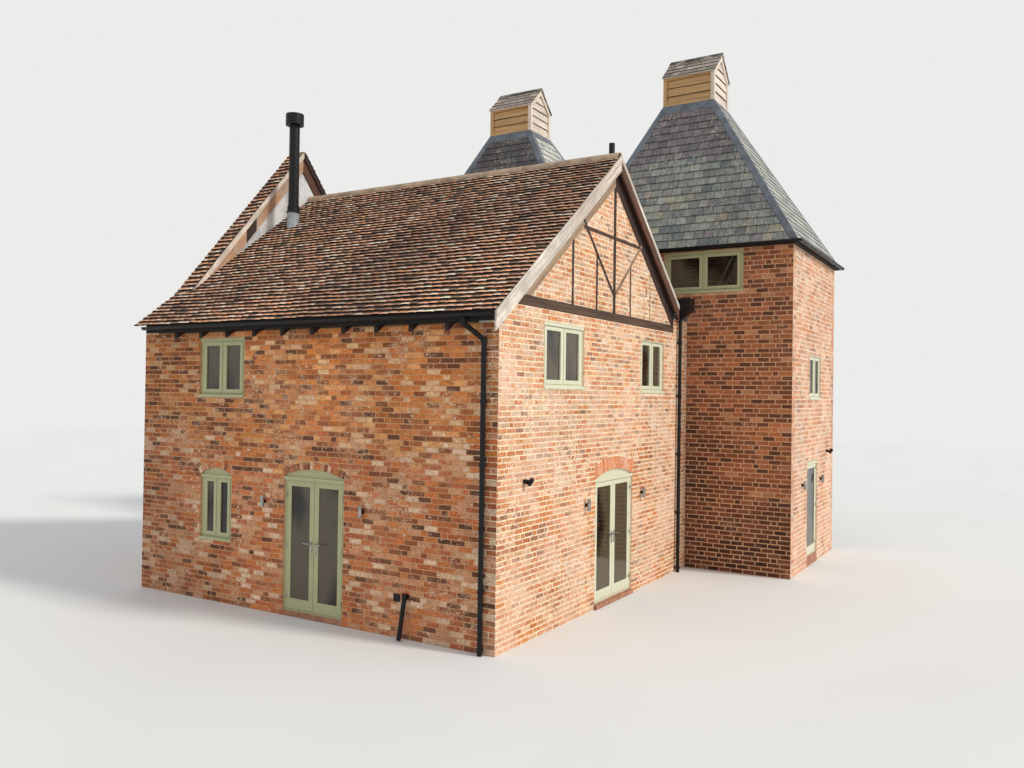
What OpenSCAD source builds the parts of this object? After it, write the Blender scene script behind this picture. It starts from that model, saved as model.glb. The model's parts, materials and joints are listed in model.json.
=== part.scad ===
// Oast house: a gabled brick wing under plain clay tiles, with a row of two square
// hop kilns behind it, each under a steep slate roof with a gabled, louvred cowl.
// Origin: middle of the wing's plan, on the underside of the ground floor.
// +X runs out of the timbered gable, +Y from the wing to the kilns, +Z up.

/* [Wing] */
// Length of the wing, party wall included
wing_len = 7660; // [7400:10:9000]
// Width of the wing, from its front face to the kilns
wing_w = 7560; // [7300:10:8600]
// Thickness of every brick wall
wall_t = 330; // [280:5:360]
// Height of the roof's apex, at the top of the tiles
apex_z = 7850; // [7700:10:8300]
// Pitch of the front roof slope, in degrees
front_pitch = 37.2; // [36:0.1:40]
// Pitch of the rear roof slope, in degrees
rear_pitch = 38.5; // [37:0.1:41]
// How far the ridge lies behind the middle of the wing
ridge_off = 40; // [0:5:100]
// How far the front eave stands out of the wall
eave_out = 250; // [180:10:320]
// How far the tiles stand out of the gable
verge_out = 80; // [50:5:140]
// Top of the brick under the gable's tie beam
tie_z = 4920; // [4850:10:5000]

/* [Roof build-up] */
// Thickness of the tiles with their battens and boards
cover_t = 110; // [80:5:130]
// Depth of a rafter
rafter_d = 150; // [120:5:175]
// Width of a rafter
rafter_w = 75; // [60:5:110]
// Spacing of the rafters
rafter_pitch = 651; // [580:1:700]
// Depth of a bargeboard, seen on the gable
barge_d = 226; // [200:2:250]
// Thickness of a bargeboard
barge_t = 30; // [22:1:40]
// Radius of a ridge tile
ridge_r = 120; // [100:5:150]

/* [Party wall] */
// Thickness of the party wall
party_t = 340; // [300:5:400]
// Height of the party wall's raised gable
party_apex_z = 8680; // [8500:10:8900]
// Pitch of the raised gable, in degrees
party_pitch = 49.5; // [48:0.5:51]
// How far the raised gable's apex lies in front of the ridge
party_apex_off = 290; // [200:10:350]
// Thickness of the tiles laid over the raised gable
coping_t = 100; // [70:5:120]

/* [Kilns] */
// Distance from cowl to cowl
kiln_pitch = 4850; // [4800:10:4900]
// How far the right kiln stands out beyond the gable
kiln_out = 2206; // [2150:2:2260]
// Depth of the kilns
kiln_depth = 4130; // [4000:10:4400]
// Height of the kiln walls
kiln_h = 6720; // [6660:10:6800]
// How far the slates stand out of the kiln walls
slate_out = 90; // [70:5:130]
// Height of the slates' edge above the wall top
slate_edge = 80; // [60:5:100]
// Plan run of the kiln roof from its right eave to the cowl
run_right = 2256; // [2190:2:2340]
// Depth of the slates and rafters, measured plumb
roof_plumb = 220; // [180:5:260]
// Width of one wing of a lead hip
lead_w = 150; // [100:5:200]
// Thickness of the lead hips
lead_t = 12; // [8:1:20]
// Height of the lead apron under a cowl, in plan
apron = 85; // [60:5:120]

/* [Cowls] */
// Height of the underside of the cowls
cowl_z = 10430; // [10200:10:10700]
// Size of a cowl along the row of kilns
cowl_w = 1240; // [1100:10:1400]
// Size of a cowl across the row of kilns
cowl_d = 1060; // [950:10:1200]
// Height of a cowl's sides
cowl_h = 700; // [620:10:800]
// Rise of a cowl's gables
cowl_rise = 500; // [440:10:560]
// Side of the cowl's square posts
cowl_post = 90; // [70:5:110]
// Height of the cowl's bottom and top plates
cowl_plate = 60; // [50:5:90]
// Number of louvre boards between the plates
louvre_rows = 3; // [3:1:4]
// Tilt of the louvre boards, in degrees
louvre_tilt = 8; // [6:1:16]
// Thickness of a louvre board
louvre_t = 22; // [18:1:28]
// Thickness of the cowl's slate roof
cowl_roof_t = 50; // [40:5:60]

/* [Floors] */
// Thickness of the wing's ground slab
slab_t = 80; // [60:5:90]
// Floor level of the kilns' ground floor
kiln_floor_z = 200; // [150:10:205]
// Floor level of the upper storey
first_z = 2900; // [2850:10:3000]
// Floor level of the kilns' top storey
second_z = 5100; // [5000:10:5200]
// Depth of an upper floor, joists included
floor_t = 250; // [200:10:300]

/* [Windows] */
// Width of a window frame's jambs
jamb_w = 68; // [55:1:80]
// Width of the mullion between two casements
mullion_w = 34; // [28:1:60]
// Depth of the window and door frames
frame_d = 90; // [80:5:110]
// How far the windows are set back from the wall's face
window_set = 35; // [30:5:60]
// Width of a casement's bars
casement_w = 66; // [50:1:72]
// Gap round a casement
sash_gap = 4; // [3:0.5:6]
// Thickness of the glazing units
glass_t = 24; // [16:1:28]
// Height of a window's sill
sill_h = 45; // [30:1:60]
// How far a sill stands out of the wall
sill_out = 20; // [10:1:35]
// Height of the drip bar over a window or door
drip_h = 53; // [40:1:60]
// How far the drip bar stands out of its frame
drip_out = 30; // [20:1:30]

/* [Doors] */
// Width of a door frame's bars
frame_w = 45; // [40:1:60]
// How far the door frames are set back from the wall's face
door_set = 30; // [30:5:60]
// Height of the doors' solid heads over the leaves
leaf_top_z = 2185; // [2150:5:2205]
// Thickness of a door leaf
leaf_t = 44; // [40:1:54]
// Width of a door leaf's stiles
stile_w = 92; // [80:1:105]
// Height of a door leaf's bottom rail
bottom_rail = 170; // [150:5:230]
// Gap round a door leaf
door_gap = 5; // [5:0.5:7]
// Gap between the leaves of a pair
meet_gap = 8; // [7:0.5:10]
// Radius of the hinge knuckles
knuckle_r = 7; // [6:0.5:8]
// Height of one hinge knuckle
knuckle_h = 40; // [30:1:50]

/* [Pipes] */
// Outer diameter of the rainwater pipes
pipe_d = 73; // [65:1:80]
// Radius of the half-round gutters
gutter_r = 55; // [50:1:65]
// Outer diameter of the stove flue
flue_d = 210; // [190:5:230]
// Height of the stove flue's top
flue_top = 9325; // [9200:5:9500]
// Outer diameter of the vent pipe behind the ridge
vent_d = 110; // [90:5:130]

/* [Hidden] */
$fn = 48;
seat = 0.3;

// Faces of the wing and the kilns
x_gable = wing_len/2;
x_end = -wing_len/2;
x_party = x_end + party_t;
y_front = -wing_w/2;
y_kiln = wing_w/2;
y_rear = y_kiln + kiln_depth;
x_side = x_gable + kiln_out;
ridge_y = ridge_off;

// Heights of the layers of the wing's roof, plumb over a point y
function pitch_at(y) = y < ridge_y ? front_pitch : rear_pitch;
function tile_top(y) = apex_z - abs(y - ridge_y)*tan(pitch_at(y));
function below(y, d) = tile_top(y) - d/cos(pitch_at(y));

// Underside of the covering and of the rafters, each with a seat
cover_b = cover_t + seat;
rafter_b = cover_b + rafter_d;

eave_y = y_front - eave_out;
tray_w = 810;
tray_y = y_kiln - tray_w;
tray_t = 50;
tile_lap = 50;
tray_drop = 80;
rear_eave_y = tray_y + tile_lap;
tray_z = below(rear_eave_y, cover_t) - tray_t - tray_drop;
tie_h = 160;
tie_top = tie_z + tie_h;
tie_start = y_front + 500;
principal_d = 438;
frame_depth = 130;
infill_depth = 110;

// Plan and section of the kiln roofs
kiln_y = (y_kiln + y_rear)/2;
edge_z = kiln_h + slate_edge;
right_cowl_x = x_side + slate_out - run_right - cowl_w/2;
cowl_xs = [right_cowl_x, right_cowl_x - kiln_pitch];
run_left = x_side - x_end + 2*slate_out - run_right - cowl_w - kiln_pitch;
run_y = (kiln_depth - cowl_d)/2 + slate_out;
roof_rise = cowl_z - edge_z;
valley_span = kiln_pitch - cowl_w - run_left;
valley_x = right_cowl_x - cowl_w/2 - run_left
  + run_left*(run_right - valley_span)/(run_left + run_right);
// The wall under the valley stands at a whole millimetre
dividing_x = round(valley_x);

// Openings: middle along the wall, width, bottom, springing or head, rise of the arch
front_door = [397, 1290, 80, 2268, 115];
front_windows = [[-1871, 788, 1041, 2165, 130], [-1779, 1118, 3501, 4514, 0]];
gable_door = [140, 1570, 75, 2200, 135];
gable_windows = [[-1817, 1365, 3715, 4738, 0], [1860, 1185, 3678, 4718, 0]];
side_door = [5700, 1015, 205, 2265, 0];
kiln_window = [1178, 995];
low_sill_z = kiln_floor_z + 859;
mid_sill_z = first_z + 690;
kiln_mid_y = kiln_y + 66;
rear_window_off = 100;
side_windows = [[kiln_mid_y, kiln_window[0], mid_sill_z, mid_sill_z + kiln_window[1], 0]];
end_windows = [for (z = [low_sill_z, mid_sill_z])
  [kiln_mid_y, kiln_window[0], z, z + kiln_window[1], 0]];
high_window = [1730, 880];
high_head_z = kiln_h - 20;
high_window_x = x_side - 1870;
high_windows = [for (i = [0, 1]) [high_window_x - i*kiln_pitch, high_window[0],
  high_head_z - high_window[1], high_head_z, 0]];
rear_windows = concat(high_windows, [for (x = cowl_xs) for (z = [low_sill_z, mid_sill_z])
  [x + rear_window_off, kiln_window[0], z, z + kiln_window[1], 0]]);

// Elevation of an opening: x along the wall, y up
module opening_2d(o) {
  translate([o[0] - o[1]/2, o[2]]) square([o[1], o[3] - o[2]]);
  if (o[4] > 0) {
    r = (o[1]*o[1]/4 + o[4]*o[4])/(2*o[4]);
    intersection() {
      translate([o[0], o[3] + o[4] - r]) circle(r, $fn = 180);
      translate([o[0] - o[1]/2, o[3] - 1]) square([o[1], o[4] + 1]);
    }
  }
}

// Extrude an elevation inwards from a wall's outer face: depth from "from" to "to"
module in_front(face, from, to) translate([0, face + to, 0]) rotate([90, 0, 0])
  linear_extrude(to - from) children();
module in_rear(face, from, to) translate([0, face - from, 0]) rotate([90, 0, 0])
  linear_extrude(to - from) children();
module in_right(face, from, to) translate([face - to, 0, 0]) rotate([90, 0, 90])
  linear_extrude(to - from) children();
module in_left(face, from, to) translate([face + from, 0, 0]) rotate([90, 0, 90])
  linear_extrude(to - from) children();

// A block between two corners
module block(a, b) translate(a) cube(b - a);

function to_ground(o) = [o[0], o[1], -1, o[3], o[4]];
module wall_holes(side, face, openings) for (o = openings) {
  if (side == "front") in_front(face, -1, wall_t + 1) opening_2d(o);
  if (side == "rear") in_rear(face, -1, wall_t + 1) opening_2d(o);
  if (side == "right") in_right(face, -1, wall_t + 1) opening_2d(o);
  if (side == "left") in_left(face, -1, wall_t + 1) opening_2d(o);
}

// Sections of the wing across its length: x runs along +Y, y up
module under_cover_2d() polygon([
  [y_front, 0], [y_front, below(y_front, cover_b)], [ridge_y, apex_z - cover_b/cos(front_pitch)],
  [ridge_y, apex_z - cover_b/cos(rear_pitch)], [tray_y, below(tray_y, cover_b)],
  [tray_y, tray_z], [y_kiln, tray_z], [y_kiln, 0]]);
// The whole section up to the top of the tiles, or a seat over them
module wing_section_2d(lift = 0) polygon([[y_front, 0], [y_front, tile_top(y_front) + lift],
  [ridge_y, apex_z + lift], [y_kiln, tile_top(y_kiln) + lift], [y_kiln, 0]]);
module tie_2d() intersection() {
  under_cover_2d();
  translate([tie_start, tie_z]) square([tray_y - tie_start, tie_h]);
}
module gable_brick_2d() difference() {
  intersection() {
    under_cover_2d();
    union() {
      translate([y_front, 0]) square([wing_w, tie_z]);
      translate([y_front, 0]) square([tie_start - y_front, tie_top]);
      translate([tray_y, 0]) square([tray_w, apex_z]);
    }
  }
  tie_2d();
}
// The framed triangle over the tie beam, and the field inside its principal rafters
module triangle_2d() intersection() {
  under_cover_2d();
  translate([y_front, tie_top]) square([tray_y - y_front, apex_z]);
}
inner_left = ridge_y - (below(ridge_y - seat, principal_d) - tie_top)/tan(front_pitch);
inner_right = ridge_y + (below(ridge_y, principal_d) - tie_top)/tan(rear_pitch);
module field_2d() polygon([[inner_left, tie_top], [ridge_y, below(ridge_y, principal_d)],
  [inner_right, tie_top]]);

// Posts, collar and braces in the gable's field, each a line with a width
king_w = 110;
stud_w = 75;
collar_z = 6400;
collar_h = 70;
brace_foot = [ridge_y, 5370];
brace_heads = [[-1250, 6569], [1250, 6440]];
long_studs = [[-1560, stud_w], [1700, 20]];
short_studs = [-670, 750];
function on_brace(y, head) = head[1]
  + (y - head[0])*(brace_foot[1] - head[1])/(brace_foot[0] - head[0]);
module bar_2d(a, b, w) translate(a) rotate(atan2(b[1] - a[1], b[0] - a[0]))
  translate([0, -w/2]) square([norm(b - a), w]);
module bars_2d() {
  bar_2d([ridge_y, tie_z], [ridge_y, apex_z], king_w);
  for (stud = long_studs) bar_2d([stud[0], tie_z], [stud[0], apex_z], stud[1]);
  for (i = [0, 1]) bar_2d([short_studs[i], tie_z],
    [short_studs[i], on_brace(short_studs[i], brace_heads[i])], stud_w);
  bar_2d([inner_left, collar_z], [inner_right, collar_z], collar_h);
  for (head = brace_heads) bar_2d(head, brace_foot, stud_w);
}

module ground_floor() color("lightgrey") {
  block([x_party, y_front + wall_t, 0], [x_gable - wall_t, y_kiln, slab_t]);
  block([dividing_x + wall_t/2, y_kiln + wall_t, 0], [x_side - wall_t, y_rear - wall_t, kiln_floor_z]);
  block([x_end + wall_t, y_kiln + wall_t, 0], [dividing_x - wall_t/2, y_rear - wall_t, kiln_floor_z]);
}

module upper_floors() color("burlywood") {
  block([x_party, y_front + wall_t, first_z - floor_t], [x_gable - wall_t, y_kiln, first_z]);
  for (top = [first_z, second_z]) {
    block([dividing_x + wall_t/2, y_kiln + wall_t, top - floor_t], [x_side - wall_t, y_rear - wall_t, top]);
    block([x_end + wall_t, y_kiln + wall_t, top - floor_t], [dividing_x - wall_t/2, y_rear - wall_t, top]);
  }
}

// The front wall's top lies under the rafters
module front_wall() color("indianred") difference() {
  translate([x_party, 0, 0]) rotate([90, 0, 90]) linear_extrude(x_gable - wall_t - x_party)
    polygon([[y_front, 0], [y_front, below(y_front, rafter_b + seat)],
      [y_front + wall_t, below(y_front + wall_t, rafter_b + seat)], [y_front + wall_t, 0]]);
  wall_holes("front", y_front, concat([to_ground(front_door)], front_windows));
}
front_l = front_door[0] - front_door[1]/2;
front_r = front_door[0] + front_door[1]/2;
module front_wall_left() intersection() {
  front_wall();
  block([x_end, y_front - 1, -1], [front_l, y_kiln, apex_z]);
}
module front_wall_right() intersection() {
  front_wall();
  block([front_r, y_front - 1, -1], [x_gable, y_kiln, apex_z]);
}
module front_wall_over_door() intersection() {
  front_wall();
  block([front_l, y_front - 1, front_door[3]], [front_r, y_kiln, apex_z]);
}

module gable_wall() color("indianred") difference() {
  in_right(x_gable, 0, wall_t) gable_brick_2d();
  wall_holes("right", x_gable, concat([to_ground(gable_door)], gable_windows));
}
gable_l = gable_door[0] - gable_door[1]/2;
gable_r = gable_door[0] + gable_door[1]/2;
module gable_wall_left() intersection() {
  gable_wall();
  block([0, y_front - 1, -1], [x_gable + 1, gable_l, apex_z]);
}
module gable_wall_right() intersection() {
  gable_wall();
  block([0, gable_r, -1], [x_gable + 1, y_kiln + 1, apex_z]);
}
module gable_wall_over_door() intersection() {
  gable_wall();
  block([0, gable_l, gable_door[3]], [x_gable + 1, gable_r, apex_z]);
}

// Brick panels between the gable's timbers, set back a little
infill_set = 10;
module gable_infill() color("sandybrown")
  in_right(x_gable, infill_set, infill_set + infill_depth) difference() { field_2d(); bars_2d(); }

module gable_frame() color("saddlebrown") in_right(x_gable, 0, frame_depth) {
  tie_2d();
  difference() { triangle_2d(); field_2d(); }
  intersection() { field_2d(); bars_2d(); }
}

party_apex_y = ridge_y - party_apex_off;
function party_z(y) = party_apex_z - abs(y - party_apex_y)*tan(party_pitch);
// The raised gable's feet, deep enough to stand on the tiles' level
party_foot = 2900;
foot_depth = 600;
module party_wall() color("indianred") in_right(x_party, 0, party_t) union() {
  difference() {
    wing_section_2d();
    translate([tray_y, tray_z]) square([tray_w + 1, apex_z]);
  }
  polygon([for (s = [-1, 0, 1]) [party_apex_y + s*party_foot, party_z(party_apex_y + s*party_foot)],
    for (s = [1, -1]) [party_apex_y + s*party_foot,
      party_z(party_apex_y + s*party_foot) - foot_depth]]);
}

module kiln_front_wall() color("indianred") difference() {
  block([x_end, y_kiln, 0], [x_side, y_kiln + wall_t, kiln_h]);
  wall_holes("front", y_kiln, high_windows);
}
module kiln_side_wall() color("indianred") difference() {
  block([x_side - wall_t, y_kiln + wall_t, 0], [x_side, y_rear - wall_t, kiln_h]);
  wall_holes("right", x_side, concat([to_ground(side_door)], side_windows));
}
side_l = side_door[0] - side_door[1]/2;
side_r = side_door[0] + side_door[1]/2;
module kiln_side_wall_front() intersection() {
  kiln_side_wall();
  block([0, y_kiln, -1], [x_side + 1, side_l, kiln_h + 1]);
}
module kiln_side_wall_rear() intersection() {
  kiln_side_wall();
  block([0, side_r, -1], [x_side + 1, y_rear, kiln_h + 1]);
}
module kiln_side_wall_over_door() intersection() {
  kiln_side_wall();
  block([0, side_l, side_door[3]], [x_side + 1, side_r, kiln_h + 1]);
}
module kiln_rear_wall() color("indianred") difference() {
  block([x_end, y_rear - wall_t, 0], [x_side, y_rear, kiln_h]);
  wall_holes("rear", y_rear, rear_windows);
}
module kiln_dividing_wall() color("indianred")
  block([dividing_x - wall_t/2, y_kiln + wall_t, 0], [dividing_x + wall_t/2, y_rear - wall_t, kiln_h]);
module kiln_end_wall() color("indianred") difference() {
  block([x_end, y_kiln + wall_t, 0], [x_end + wall_t, y_rear - wall_t, kiln_h]);
  wall_holes("left", x_end, end_windows);
}

// One layer of the wing's roof between two depths under the tiles' top
module layer_2d(y0, y1, top, bottom) polygon([
  [y0, below(y0, top)], [y1, below(y1, top)], [y1, below(y1, bottom)], [y0, below(y0, bottom)]]);
module along_wing(x0, x1) translate([x0, 0, 0]) rotate([90, 0, 90]) linear_extrude(x1 - x0)
  children();
module front_roof_slope() color("sienna") along_wing(x_party, x_gable + verge_out)
  layer_2d(eave_y, ridge_y - seat, 0, cover_t);
module rear_roof_slope() color("sienna") along_wing(x_party, x_gable + verge_out)
  layer_2d(ridge_y, rear_eave_y, 0, cover_t);

// Ridge tiles: a half-round cap bedded on both slopes
ridge_tile_t = 18;
ridge_drop = 62;
module ridge_tiles() color("peru") along_wing(x_party, x_gable + verge_out) difference() {
  translate([ridge_y, apex_z - ridge_drop]) circle(ridge_r);
  translate([ridge_y, apex_z - ridge_drop]) circle(ridge_r - ridge_tile_t);
  wing_section_2d(seat);
}

// Couples of rafters on a ridge board, and the beam under their feet at the box gutter
ridge_board = 40;
ridge_board_h = 280;
rafter_x0 = x_gable - 781;
rafter_foot = 150;
beam_w = 200;
beam_h = 260;
beam_y = tray_y - 10;
function rafter_count() = floor((rafter_x0 - x_party - rafter_w)/rafter_pitch) + 1;
module rafters() color("tan") {
  for (i = [0:rafter_count() - 1]) translate([rafter_x0 - i*rafter_pitch - rafter_w/2, 0, 0])
    along_wing(0, rafter_w) {
      layer_2d(y_front - rafter_foot, ridge_y - ridge_board/2 - seat, cover_b, rafter_b);
      layer_2d(ridge_y + ridge_board/2 + seat, tray_y - seat, cover_b, rafter_b);
    }
  board_top = below(ridge_y + ridge_board/2, cover_b) - seat;
  block([x_party, ridge_y - ridge_board/2, board_top - ridge_board_h],
    [x_gable - frame_depth, ridge_y + ridge_board/2, board_top]);
  beam_top = below(beam_y, rafter_b) - seat;
  block([x_party, beam_y - beam_w, beam_top - beam_h], [x_gable - wall_t, beam_y, beam_top]);
}

// Boards on the gable's verges, their soffits, and the verge of the raised party wall
soffit_t = 25;
barge_up = 5;
coping_out = 60;
party_board_d = 290;
module coping_2d() {
  end = party_foot + coping_out;
  plumb = coping_t/cos(party_pitch);
  polygon([for (s = [-1, 0, 1]) [party_apex_y + s*end, party_z(party_apex_y + s*end) + seat],
    for (s = [1, 0, -1]) [party_apex_y + s*end, party_z(party_apex_y + s*end) + plumb]]);
}
module party_board_2d() {
  end = party_foot + coping_out;
  polygon([for (s = [-1, 0, 1]) [party_apex_y + s*end, party_z(party_apex_y + s*end)],
    for (s = [1, 0, -1]) [party_apex_y + s*end,
      party_z(party_apex_y + s*end) - party_board_d]]);
}
module bargeboards() color("silver") {
  verge = x_gable + verge_out + seat;
  along_wing(verge, verge + barge_t) {
    layer_2d(eave_y, ridge_y - seat, -barge_up, barge_d);
    layer_2d(ridge_y, rear_eave_y, -barge_up, barge_d);
  }
  along_wing(x_gable, verge) {
    layer_2d(y_front, ridge_y - seat, cover_b, cover_b + soffit_t);
    layer_2d(ridge_y, tray_y, cover_b, cover_b + soffit_t);
  }
  along_wing(x_party + seat, x_party + barge_t) difference() {
    party_board_2d();
    wing_section_2d(seat);
  }
  along_wing(x_end, x_party + coping_out) difference() {
    coping_2d();
    wing_section_2d(seat);
  }
}

// A lead-lined tray between the rear slope and the kilns
upstand_t = 12;
upstand_h = 260;
module box_gutter() color("dimgrey") along_wing(x_end, x_gable) {
  translate([tray_y, tray_z]) square([tray_w, tray_t]);
  translate([y_kiln - upstand_t, tray_z]) square([upstand_t, upstand_h]);
}

// Plan of a kiln roof at a share k of its run: the eave at 0, the cowl at 1
function ring(cx, k) = [cx - cowl_w/2 - run_left*(1 - k), cx + cowl_w/2 + run_right*(1 - k),
  kiln_y - cowl_d/2 - run_y*(1 - k), kiln_y + cowl_d/2 + run_y*(1 - k)];
sides = ["front", "right", "rear", "left"];
function run_of(side) = side == "right" ? run_right : side == "left" ? run_left : run_y;

// Put a section on one side of a kiln roof: x runs in from the eave, y up
module on_side(cx, side) {
  a = ring(cx, 0);
  past = ring(cx, -0.1);
  if (side == "front") translate([past[0], a[2], 0]) rotate([90, 0, 90])
    linear_extrude(past[1] - past[0]) children();
  if (side == "rear") translate([past[1], a[3], 0]) rotate([90, 0, 270])
    linear_extrude(past[1] - past[0]) children();
  if (side == "right") translate([a[1], past[2], 0]) rotate([90, 0, 180])
    linear_extrude(past[3] - past[2]) children();
  if (side == "left") translate([a[0], past[3], 0]) rotate([90, 0, 0])
    linear_extrude(past[3] - past[2]) children();
}

// Plan of one side between its mitres, from share k0 to share k1 of the run
function corner(r, i) = [i == 0 || i == 3 ? r[0] : r[1], i < 2 ? r[2] : r[3]];
function start_of(side) = side == "front" ? 0 : side == "right" ? 1 : side == "rear" ? 2 : 3;
function along(side) = side == "front" ? [1, 0] : side == "right" ? [0, 1]
  : side == "rear" ? [-1, 0] : [0, -1];
module mitred_2d(cx, side, k0, k1) {
  i = start_of(side);
  j = (i + 1)%4;
  gap = along(side)*seat/2;
  polygon([corner(ring(cx, k0), i) + gap, corner(ring(cx, k0), j) - gap,
    corner(ring(cx, k1), j) - gap, corner(ring(cx, k1), i) + gap]);
}

// The four slopes of a kiln roof, cut off over the valley between the kilns
top_share = 1 + roof_plumb/roof_rise;
foot_share = (wall_t + slate_out)/run_right;
module slope_2d(run) polygon([[0, kiln_h], [0, edge_z], [run, cowl_z],
  [run*top_share, cowl_z], [run*foot_share, kiln_h]]);
module this_side_of_valley(cx) {
  right = cx > valley_x;
  block([right ? valley_x : x_end - 1000, 0, 0], [right ? x_side + 1000 : valley_x, y_rear + 1000,
    cowl_z + 1000]);
}
module kiln_roof(cx) intersection() {
  for (side = sides) intersection() {
    on_side(cx, side) slope_2d(run_of(side));
    linear_extrude(2*cowl_z) mitred_2d(cx, side, -0.05, top_share + 0.05);
  }
  this_side_of_valley(cx);
}
module right_kiln_roof() color("slategrey") kiln_roof(cowl_xs[0]);
module left_kiln_roof() color("slategrey") kiln_roof(cowl_xs[1]);

// Lead over the hips and round the foot of the cowl
module lead_section_2d(run) {
  plumb = lead_t*norm([run, roof_rise])/run;
  polygon([[0, edge_z + seat], [run, cowl_z + seat], [run, cowl_z + plumb], [0, edge_z + plumb]]);
}
module lead_plan_2d(cx, side) difference() {
  mitred_2d(cx, side, -0.05, 1.05);
  i = start_of(side);
  j = (i + 1)%4;
  step = along(side)*lead_w;
  below_apron = 1 - apron/run_of(side);
  polygon([corner(ring(cx, -0.1), i) + step, corner(ring(cx, -0.1), j) - step,
    corner(ring(cx, below_apron), j) - step, corner(ring(cx, below_apron), i) + step]);
}
module lead_hips() color("darkgrey") for (cx = cowl_xs) intersection() {
  for (side = sides) intersection() {
    on_side(cx, side) lead_section_2d(run_of(side));
    linear_extrude(2*cowl_z) lead_plan_2d(cx, side);
  }
  this_side_of_valley(cx);
}

// The frame of a cowl: posts, plates and the rafters of its gables, each a bar of its own
cowl_pitch = atan(cowl_rise/(cowl_d/2));
cowl_rafter = 90;
rafter_plumb = cowl_rafter/cos(cowl_pitch);
module gable_rafter_2d() polygon([[-cowl_d/2, cowl_h + seat], [-seat/2, cowl_h + cowl_rise],
  [-seat/2, cowl_h + cowl_rise - rafter_plumb],
  [-cowl_d/2 + rafter_plumb/tan(cowl_pitch), cowl_h + seat]]);
module quarter_frame() {
  x = cowl_w/2;
  y = cowl_d/2;
  block([-x, -y, 0], [-x + cowl_post, -y + cowl_post, cowl_h]);
  for (z = [0, cowl_h - cowl_plate])
    block([-x + cowl_post + seat, -y, z], [-seat/2, -y + cowl_post, z + cowl_plate]);
  block([-x, -y + cowl_post + seat, 0], [-x + cowl_post, -seat/2, cowl_plate]);
  translate([-x, 0, 0]) rotate([90, 0, 90]) linear_extrude(cowl_post) gable_rafter_2d();
}
module in_each_quarter() for (mx = [0, 1]) for (my = [0, 1])
  mirror([mx, 0, 0]) mirror([0, my, 0]) children();
module cowls() color("goldenrod") for (x = cowl_xs) translate([x, kiln_y, cowl_z])
  in_each_quarter() quarter_frame();

// Louvre boards between the posts, nearly closed: the lower edge of each stands out
board_gap = 4;
board_pitch = (cowl_h - 2*cowl_plate)/louvre_rows;
board_w = (board_pitch - board_gap - louvre_t*sin(louvre_tilt))/cos(louvre_tilt);
module tilted_boards(len, rows) for (i = [0:rows - 1])
  translate([-len/2, cowl_post/2, cowl_plate + (i + 0.5)*board_pitch])
    rotate([-louvre_tilt, 0, 0]) translate([0, -louvre_t/2, -board_w/2])
      cube([len, louvre_t, board_w]);
module gable_field_2d() {
  foot = cowl_plate + seat;
  clear = rafter_plumb + 2*seat;
  edge = cowl_d/2 - cowl_post - seat;
  polygon([[-edge, foot], [edge, foot], [edge, cowl_h + cowl_rise - clear - edge*tan(cowl_pitch)],
    [0, cowl_h + cowl_rise - clear], [-edge, cowl_h + cowl_rise - clear - edge*tan(cowl_pitch)]]);
}
module cowl_boards() color("burlywood") for (x = cowl_xs) for (turn = [0, 180])
  translate([x, kiln_y, cowl_z]) rotate(turn) {
    translate([0, -cowl_d/2, 0])
      tilted_boards(cowl_w - 2*cowl_post - 2*seat, louvre_rows);
    intersection() {
      translate([cowl_w/2, 0, 0]) rotate(90)
        tilted_boards(cowl_d, ceil((cowl_h + cowl_rise - cowl_plate)/board_pitch));
      rotate([90, 0, 90]) linear_extrude(cowl_w) gable_field_2d();
    }
  }

// Two slopes of boards over each cowl
cowl_roof_out = 25;
module cowl_slope_2d() {
  t = cowl_roof_t/cos(cowl_pitch);
  eave = cowl_d/2 + cowl_roof_out;
  eave_drop = cowl_roof_out*tan(cowl_pitch);
  polygon([[-eave, seat - eave_drop], [-seat/2, cowl_rise + seat], [-seat/2, cowl_rise + t],
    [-eave, t - eave_drop]]);
}
module cowl_roofs() color("slategrey") for (x = cowl_xs) for (my = [0, 1])
  translate([x - cowl_w/2 - cowl_roof_out, kiln_y, cowl_z + cowl_h]) mirror([0, my, 0])
    rotate([90, 0, 90]) linear_extrude(cowl_w + 2*cowl_roof_out) cowl_slope_2d();

// A half-round gutter of length len along +X, its back at y = 0 and its rim at z = 0
gutter_t = 6;
module half_round(len) rotate([90, 0, 90]) linear_extrude(len) difference() {
  translate([-gutter_r, 0]) circle(gutter_r);
  translate([-gutter_r, 0]) circle(gutter_r - gutter_t);
  translate([-2*gutter_r - 1, 0]) square(2*gutter_r + 2);
}
rim_z = tile_top(eave_y) - 35;
kiln_rim_z = edge_z - 12;
module gutters() color("black") {
  translate([x_party, eave_y, rim_z]) half_round(x_gable + verge_out - x_party);
  x0 = x_end - slate_out;
  x1 = x_side + slate_out;
  y0 = y_kiln - slate_out;
  y1 = y_rear + slate_out;
  d = 2*gutter_r;
  translate([x0 - d, y0, kiln_rim_z]) half_round(x1 - x0 + 2*d);
  translate([x1, y0 - d, kiln_rim_z]) rotate(90) half_round(y1 - y0 + 2*d);
  translate([x1 + d, y1, kiln_rim_z]) rotate(180) half_round(x1 - x0 + 2*d);
  translate([x0, y1 + d, kiln_rim_z]) rotate(270) half_round(y1 - y0 + 2*d);
}

// A round pipe through a list of points, with a socket over each bend
socket_more = 16;
module tube(points, d) for (i = [0:len(points) - 2]) {
  a = points[i];
  v = points[i + 1] - a;
  translate(a) rotate([0, acos(v[2]/norm(v)), atan2(v[1], v[0])]) cylinder(d = d, h = norm(v));
  if (i > 0) translate(a - [0, 0, d/2 + socket_more/2])
    cylinder(d = d + socket_more, h = d + socket_more);
}

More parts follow.
